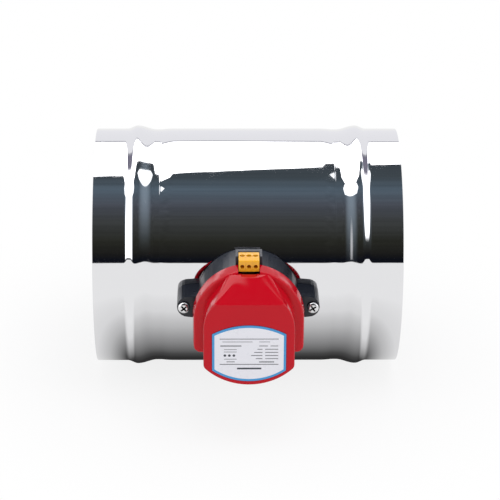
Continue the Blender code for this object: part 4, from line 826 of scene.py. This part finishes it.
def make_terminal():
    """A three-way block with screw openings above and wire openings in front."""
    half, low, high = TERMINAL_HALF, TERMINAL_LOW, TERMINAL_HIGH
    rear, front = TERMINAL_REAR, TERMINAL_FRONT
    bevel, rounding = TERMINAL_BEVEL, TERMINAL_ROUNDING
    profile = [(rear, low), (front - bevel, low), (front, low + bevel)]
    profile += arc((front - rounding, high - rounding), rounding, 0.0, QUARTER, steps=6)
    profile += [(rear + bevel, high), (rear, high - bevel)]
    mesh = stack("terminal_body", [[(x, y, s) for s, y in profile] for x in (-half, half)])
    clamp, wire = rear + 0.42 * (front - rear), low + 0.45 * (high - low)
    for x in TERMINAL_WAYS:
        down = rod_mesh("hole", (x, CLAMP_FLOOR, clamp), (x, FAR, clamp), CLAMP_RADIUS, steps=24)
        along = rod_mesh("hole", (x, wire, clamp), (x, wire, WIRE_END), WIRE_RADIUS, steps=24)
        mesh = boolean(boolean(mesh, down), along)
    ahead = front + JOINT_PAST
    for x in TERMINAL_JOINTS:
        width = (x - JOINT_HALF, x + JOINT_HALF)
        on_top = box_mesh("groove", width, (high - bevel, JOINT_TOP), (rear, ahead))
        down = (low - JOINT_PAST, JOINT_TOP)
        in_front = box_mesh("groove", width, down, (front - bevel, ahead))
        mesh = boolean(boolean(mesh, on_top), in_front)
    piece = add_object("terminal_body", smooth(mesh, 35.0), ACTUATOR)
    dress(piece, yellow)
    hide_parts("terminal_block")


make_terminal()


# Stage: floor, surroundings, lamp and camera

WHITE = (1.0, 1.0, 1.0)
FLOOR_LEVEL = cad_low.z - 0.0001
FLOOR_RADIUS = 3.0
FLOOR_COLOUR = (0.86, 0.86, 0.87)
FAR_FLOOR = (0.92, 0.92, 0.92)
# The eye sees the floor's own shade below 0.10 m from the middle and white past 0.24 m
WHITE_FROM, WHITE_TO, WHITE_SHARE = 0.10, 0.24, 0.84
# Grey painted on the floor for mirrors, a painted shadow of the duct, by distance from the duct's
# shade as a share of its reach
SHADE_HALF_WIDTH, SHADE_HALF_DEPTH = 0.076, 0.032
SHADE_END_STEEPNESS, SHADE_REACH = 5.0, 0.25
PAINTED_UNDER_SHADE = (
    (0.00, 0.03), (0.04, 0.07), (0.12, 0.26), (0.25, 0.55), (0.42, 0.80), (0.80, 0.92),
    (1.00, 0.92),
)


def painted_shade_under(kit, mirrored_ray):
    """White for the eye; in mirrors, an even grey for the floor with painted shade, dark where the
    duct stands.
    """
    x, y, _ = kit.parts(kit.coordinates)
    beside = kit.past(kit.math("ABSOLUTE", x), SHADE_HALF_WIDTH)
    beside = kit.product(beside, SHADE_END_STEEPNESS)
    ahead = kit.past(kit.math("ABSOLUTE", y), SHADE_HALF_DEPTH)
    squares = kit.math("ADD", kit.math("POWER", beside, 2.0), kit.math("POWER", ahead, 2.0))
    away = kit.math("DIVIDE", kit.math("SQRT", squares), SHADE_REACH)
    greys = [(place, (level, level, level)) for place, level in PAINTED_UNDER_SHADE]
    return kit.mix(mirrored_ray, WHITE, kit.ramp(away, greys))


def make_floor():
    mesh = lathe("floor", [(0.0, 0.0), (FLOOR_RADIUS, 0.0)], steps=96)
    floor = bpy.data.objects.new("floor", mesh)
    scene.collection.objects.link(floor)
    floor.location.z = FLOOR_LEVEL
    made = Surface("floor", FLOOR_COLOUR, 0.75, Specular_IOR_Level=0.1)
    path = made.add("ShaderNodeLightPath").outputs
    reach = made.add("ShaderNodeVectorMath", operation="LENGTH")
    made.link(made.coordinates, reach.inputs[0])
    fade = made.remap(
        reach.outputs["Value"], WHITE_FROM, WHITE_TO, WHITE_SHARE, 1.0,
        interpolation_type="SMOOTHSTEP",
    )
    seen = made.product(path["Is Camera Ray"], fade)
    glow = made.add("ShaderNodeEmission")
    glow.inputs["Strength"].default_value = 1.0
    # In mirrors the floor shows only this emission, with the duct's shadow painted into it
    made.link(painted_shade_under(made, path["Is Glossy Ray"]), glow.inputs["Color"])
    blend = made.add("ShaderNodeMixShader")
    made.link(made.math("ADD", path["Is Glossy Ray"], seen), blend.inputs["Fac"])
    made.link(made.shader.outputs[0], blend.inputs[1])
    made.link(glow.outputs[0], blend.inputs[2])
    made.link(blend.outputs[0], made.tree.nodes["Material Output"].inputs["Surface"])
    dress(floor, made.material)


# What the mirrors see. A turn is an angle about the duct in degrees: 0 is level in front,
# 90 is straight up and 180 is level behind. A reach is the direction's sideways share.
DARK_BAND = (
    (0.000, (0.004, 0.005, 0.009)),
    (0.050, (0.005, 0.006, 0.010)),
    (0.085, (0.014, 0.014, 0.013)),
    (0.150, (0.024, 0.025, 0.020)),
    (0.260, (0.050, 0.054, 0.055)),
    (0.350, (0.075, 0.085, 0.105)),
    (0.440, (0.090, 0.125, 0.160)),
    (0.520, (0.055, 0.070, 0.082)),
    (0.620, (0.045, 0.055, 0.065)),
)
HALF_TURN = 180.0
STREAKS, STREAK_CONTRAST, STREAK_LEAST = (5.0, 15.0, 15.0), 0.7, 0.65
WINDOW_TURN, LEFT_WINDOW_LOWER = 97.0, 16.0
WINDOW_HALF_HEIGHT, WINDOW_GROWTH, WINDOW_GROWS_FROM = 6.0, 22.0, 0.27
WINDOW_POINT, WINDOW_POINT_AT = 9.0, 1.44
WINDOW_LIGHT = (1.50, 1.55, 1.60)
HAZE_DEPTH, HAZE_REACH, HAZE_SHARE = 85.0, 0.40, 0.75
HAZE_COLOUR = (0.30, 0.37, 0.44)
SIDE_WALL_REACH, SIDE_WALL_FOOT = 0.53, 8.0
RIGHT_WALL_NARROWING, RIGHT_WALL_LEAN = 0.42, -0.0060
SIDE_WALL_LIGHT = (2.00, 2.00, 2.04)
PANEL_TURN, PANEL_LEAN, PANEL_LEFT, PANEL_RIGHT = 100.5, 110.0, -0.065, 0.09
PANEL_LEAN_RIGHT, PANEL_LEAN_LEFT, PANEL_LEFT_REACH = 20.0, -25.0, 0.25
PANEL_LIGHT = (3.20, 3.20, 3.25)
GAP_REACH, GAP_LEAN, GAP_TURN = 1.64, -0.0095, 106.0
GAP_COLOUR = (0.21, 0.20, 0.26)
BACK_WALL_TURN, BACK_WALL_LEAN, BACK_LINE = 149.0, -30.0, 2.2
BACK_LINE_COLOUR = (0.36, 0.36, 0.40)
BACK_WALL_LIGHT = (0.90, 0.90, 0.93)
FLOOR_TURN = 5.9
SOFT_LIGHT = (0.76, 0.76, 0.77)


def add_windows(kit, surroundings, turn, x, reach, left):
    """Windows of light left and right, with the haze that fades below them."""
    middle = kit.line(left, -LEFT_WINDOW_LOWER, WINDOW_TURN)
    growth = kit.product(kit.past(x, WINDOW_GROWS_FROM), WINDOW_GROWTH)
    off = kit.math("ABSOLUTE", kit.math("SUBTRACT", turn, middle))
    off = kit.math("DIVIDE", off, kit.math("ADD", growth, WINDOW_HALF_HEIGHT))
    point = kit.line(reach, WINDOW_POINT, kit.product(off, -1.0))
    window = kit.product(kit.step(point, WINDOW_POINT_AT, 0.1), kit.rest(kit.step(off, 1.0, 0.1)))
    depth = kit.math("DIVIDE", kit.math("SUBTRACT", middle, turn), HAZE_DEPTH)
    haze = kit.product(kit.rest(kit.step(depth, 0.5, 1.0)), kit.step(reach, HAZE_REACH, 0.30))
    surroundings = kit.mix(kit.product(haze, HAZE_SHARE), surroundings, HAZE_COLOUR)
    return kit.mix(window, surroundings, WINDOW_LIGHT)


def add_side_walls(kit, surroundings, turn, reach, left):
    """White walls far left and right; the right one narrows towards the ground."""
    narrowing = kit.math("MAXIMUM", kit.line(turn, RIGHT_WALL_LEAN, RIGHT_WALL_NARROWING), 0.0)
    edge = kit.line(narrowing, kit.rest(left), SIDE_WALL_REACH)
    wall = kit.product(kit.step(reach, edge, 0.06), kit.step(turn, SIDE_WALL_FOOT, 2.0))
    return kit.mix(wall, surroundings, SIDE_WALL_LIGHT)


def add_panel(kit, surroundings, turn, x, reach):
    """The overhead panel, with an edge that leans, and the gap beside it."""
    across = kit.math("MINIMUM", kit.math("MAXIMUM", x, PANEL_LEFT), PANEL_RIGHT)
    edge = kit.line(kit.past(x, PANEL_RIGHT), PANEL_LEAN_RIGHT, PANEL_TURN)
    edge = kit.line(across, PANEL_LEAN, edge)
    leftward = kit.math("MAXIMUM", kit.math("SUBTRACT", PANEL_LEFT, x), 0.0)
    leftward = kit.math("MINIMUM", leftward, PANEL_LEFT_REACH)
    edge = kit.line(leftward, PANEL_LEAN_LEFT, edge)
    surroundings = kit.mix(kit.step(turn, edge, 0.8), surroundings, PANEL_LIGHT)
    gap = kit.step(reach, kit.line(turn, GAP_LEAN, GAP_REACH), 0.05)
    gap = kit.product(gap, kit.step(turn, GAP_TURN, 4.0))
    return kit.mix(gap, surroundings, GAP_COLOUR)


def add_back_wall(kit, surroundings, turn, reach):
    """A grey line and the pale wall behind the duct."""
    edge = kit.line(reach, BACK_WALL_LEAN, BACK_WALL_TURN)
    line = kit.step(turn, kit.math("SUBTRACT", edge, BACK_LINE), 1.6)
    surroundings = kit.mix(line, surroundings, BACK_LINE_COLOUR)
    return kit.mix(kit.step(turn, edge, 2.0), surroundings, BACK_WALL_LIGHT)


def make_world():
    """White for the camera; in gloss a studio with a dark side, panels, walls and windows."""
    world = bpy.data.worlds.new("studio")
    scene.world = world
    world.use_nodes = True
    world.node_tree.nodes.clear()
    kit = Nodes(world.node_tree, "Generated")
    x, y, z = kit.parts(kit.coordinates)
    turn = kit.math("ARCTAN2", z, kit.product(y, -1.0))
    turn = kit.product(turn, HALF_TURN / math.pi)
    reach = kit.math("ABSOLUTE", x)
    left = kit.step(kit.product(x, -1.0), 0.0, 0.02)
    dark_side = kit.ramp(kit.math("DIVIDE", turn, HALF_TURN), DARK_BAND)
    streaks = kit.noise(1.0, detail=4.0, stretch=STREAKS)
    uneven = kit.add("ShaderNodeVectorMath", operation="SCALE")
    kit.link(dark_side, uneven.inputs[0])
    kit.link(kit.line(streaks, STREAK_CONTRAST, STREAK_LEAST), uneven.inputs["Scale"])
    surroundings = add_windows(kit, uneven.outputs["Vector"], turn, x, reach, left)
    surroundings = add_side_walls(kit, surroundings, turn, reach, left)
    surroundings = add_panel(kit, surroundings, turn, x, reach)
    surroundings = add_back_wall(kit, surroundings, turn, reach)
    ground = kit.rest(kit.step(turn, FLOOR_TURN, 0.5))
    surroundings = kit.mix(ground, surroundings, FAR_FLOOR)
    path = kit.add("ShaderNodeLightPath").outputs
    soft = kit.mix(path["Is Glossy Ray"], SOFT_LIGHT, surroundings)
    plain = kit.math("MAXIMUM", path["Is Camera Ray"], path["Is Transmission Ray"])
    background = kit.add("ShaderNodeBackground")
    kit.link(kit.mix(plain, soft, WHITE), background.inputs["Color"])
    output = kit.add("ShaderNodeOutputWorld")
    kit.link(background.outputs[0], output.inputs["Surface"])


def make_lamp(name, place, size, energy):
    """A square area lamp aimed at the middle, which no mirror shows."""
    data = bpy.data.lights.new(name, "AREA")
    data.shape = "SQUARE"
    data.size = size
    data.energy = energy
    lamp = bpy.data.objects.new(name, data)
    lamp.location = place
    lamp.rotation_euler = (-Vector(place)).to_track_quat("-Z", "Y").to_euler()
    lamp.visible_glossy = False
    scene.collection.objects.link(lamp)


def make_camera():
    """The view of the photograph: in front of the duct's side, 24 degrees above it."""
    elevation, aside = math.radians(24.2), math.radians(0.85)
    distance, lens, sensor, image_width = 1.440, 159.7, 36.0, 500.0
    pixels_right, pixels_down = 3.6, 5.8
    right = Vector((math.cos(aside), -math.sin(aside), 0.0))
    front = Vector((-math.sin(aside), -math.cos(aside), 0.0))
    back = math.cos(elevation) * front + Vector((0.0, 0.0, math.sin(elevation)))
    up = back.cross(right)
    pixel = distance * sensor / lens / image_width
    target = pixels_right * pixel * right - pixels_down * pixel * up
    data = bpy.data.cameras.new("camera")
    data.lens = lens
    data.sensor_width = sensor
    camera = bpy.data.objects.new("camera", data)
    camera.location = distance * back
    level = Quaternion((0.0, 0.0, 1.0), math.asin(math.sin(elevation) * math.sin(aside)))
    aim = (target - camera.location).to_track_quat("-Z", "Y")
    camera.rotation_euler = (aim @ level).to_euler()
    scene.collection.objects.link(camera)
    scene.camera = camera


make_floor()
make_world()
make_lamp("overhead", place=(0.25, -0.35, 1.5), size=1.3, energy=9.0)
make_camera()
scene.view_settings.view_transform = "Standard"
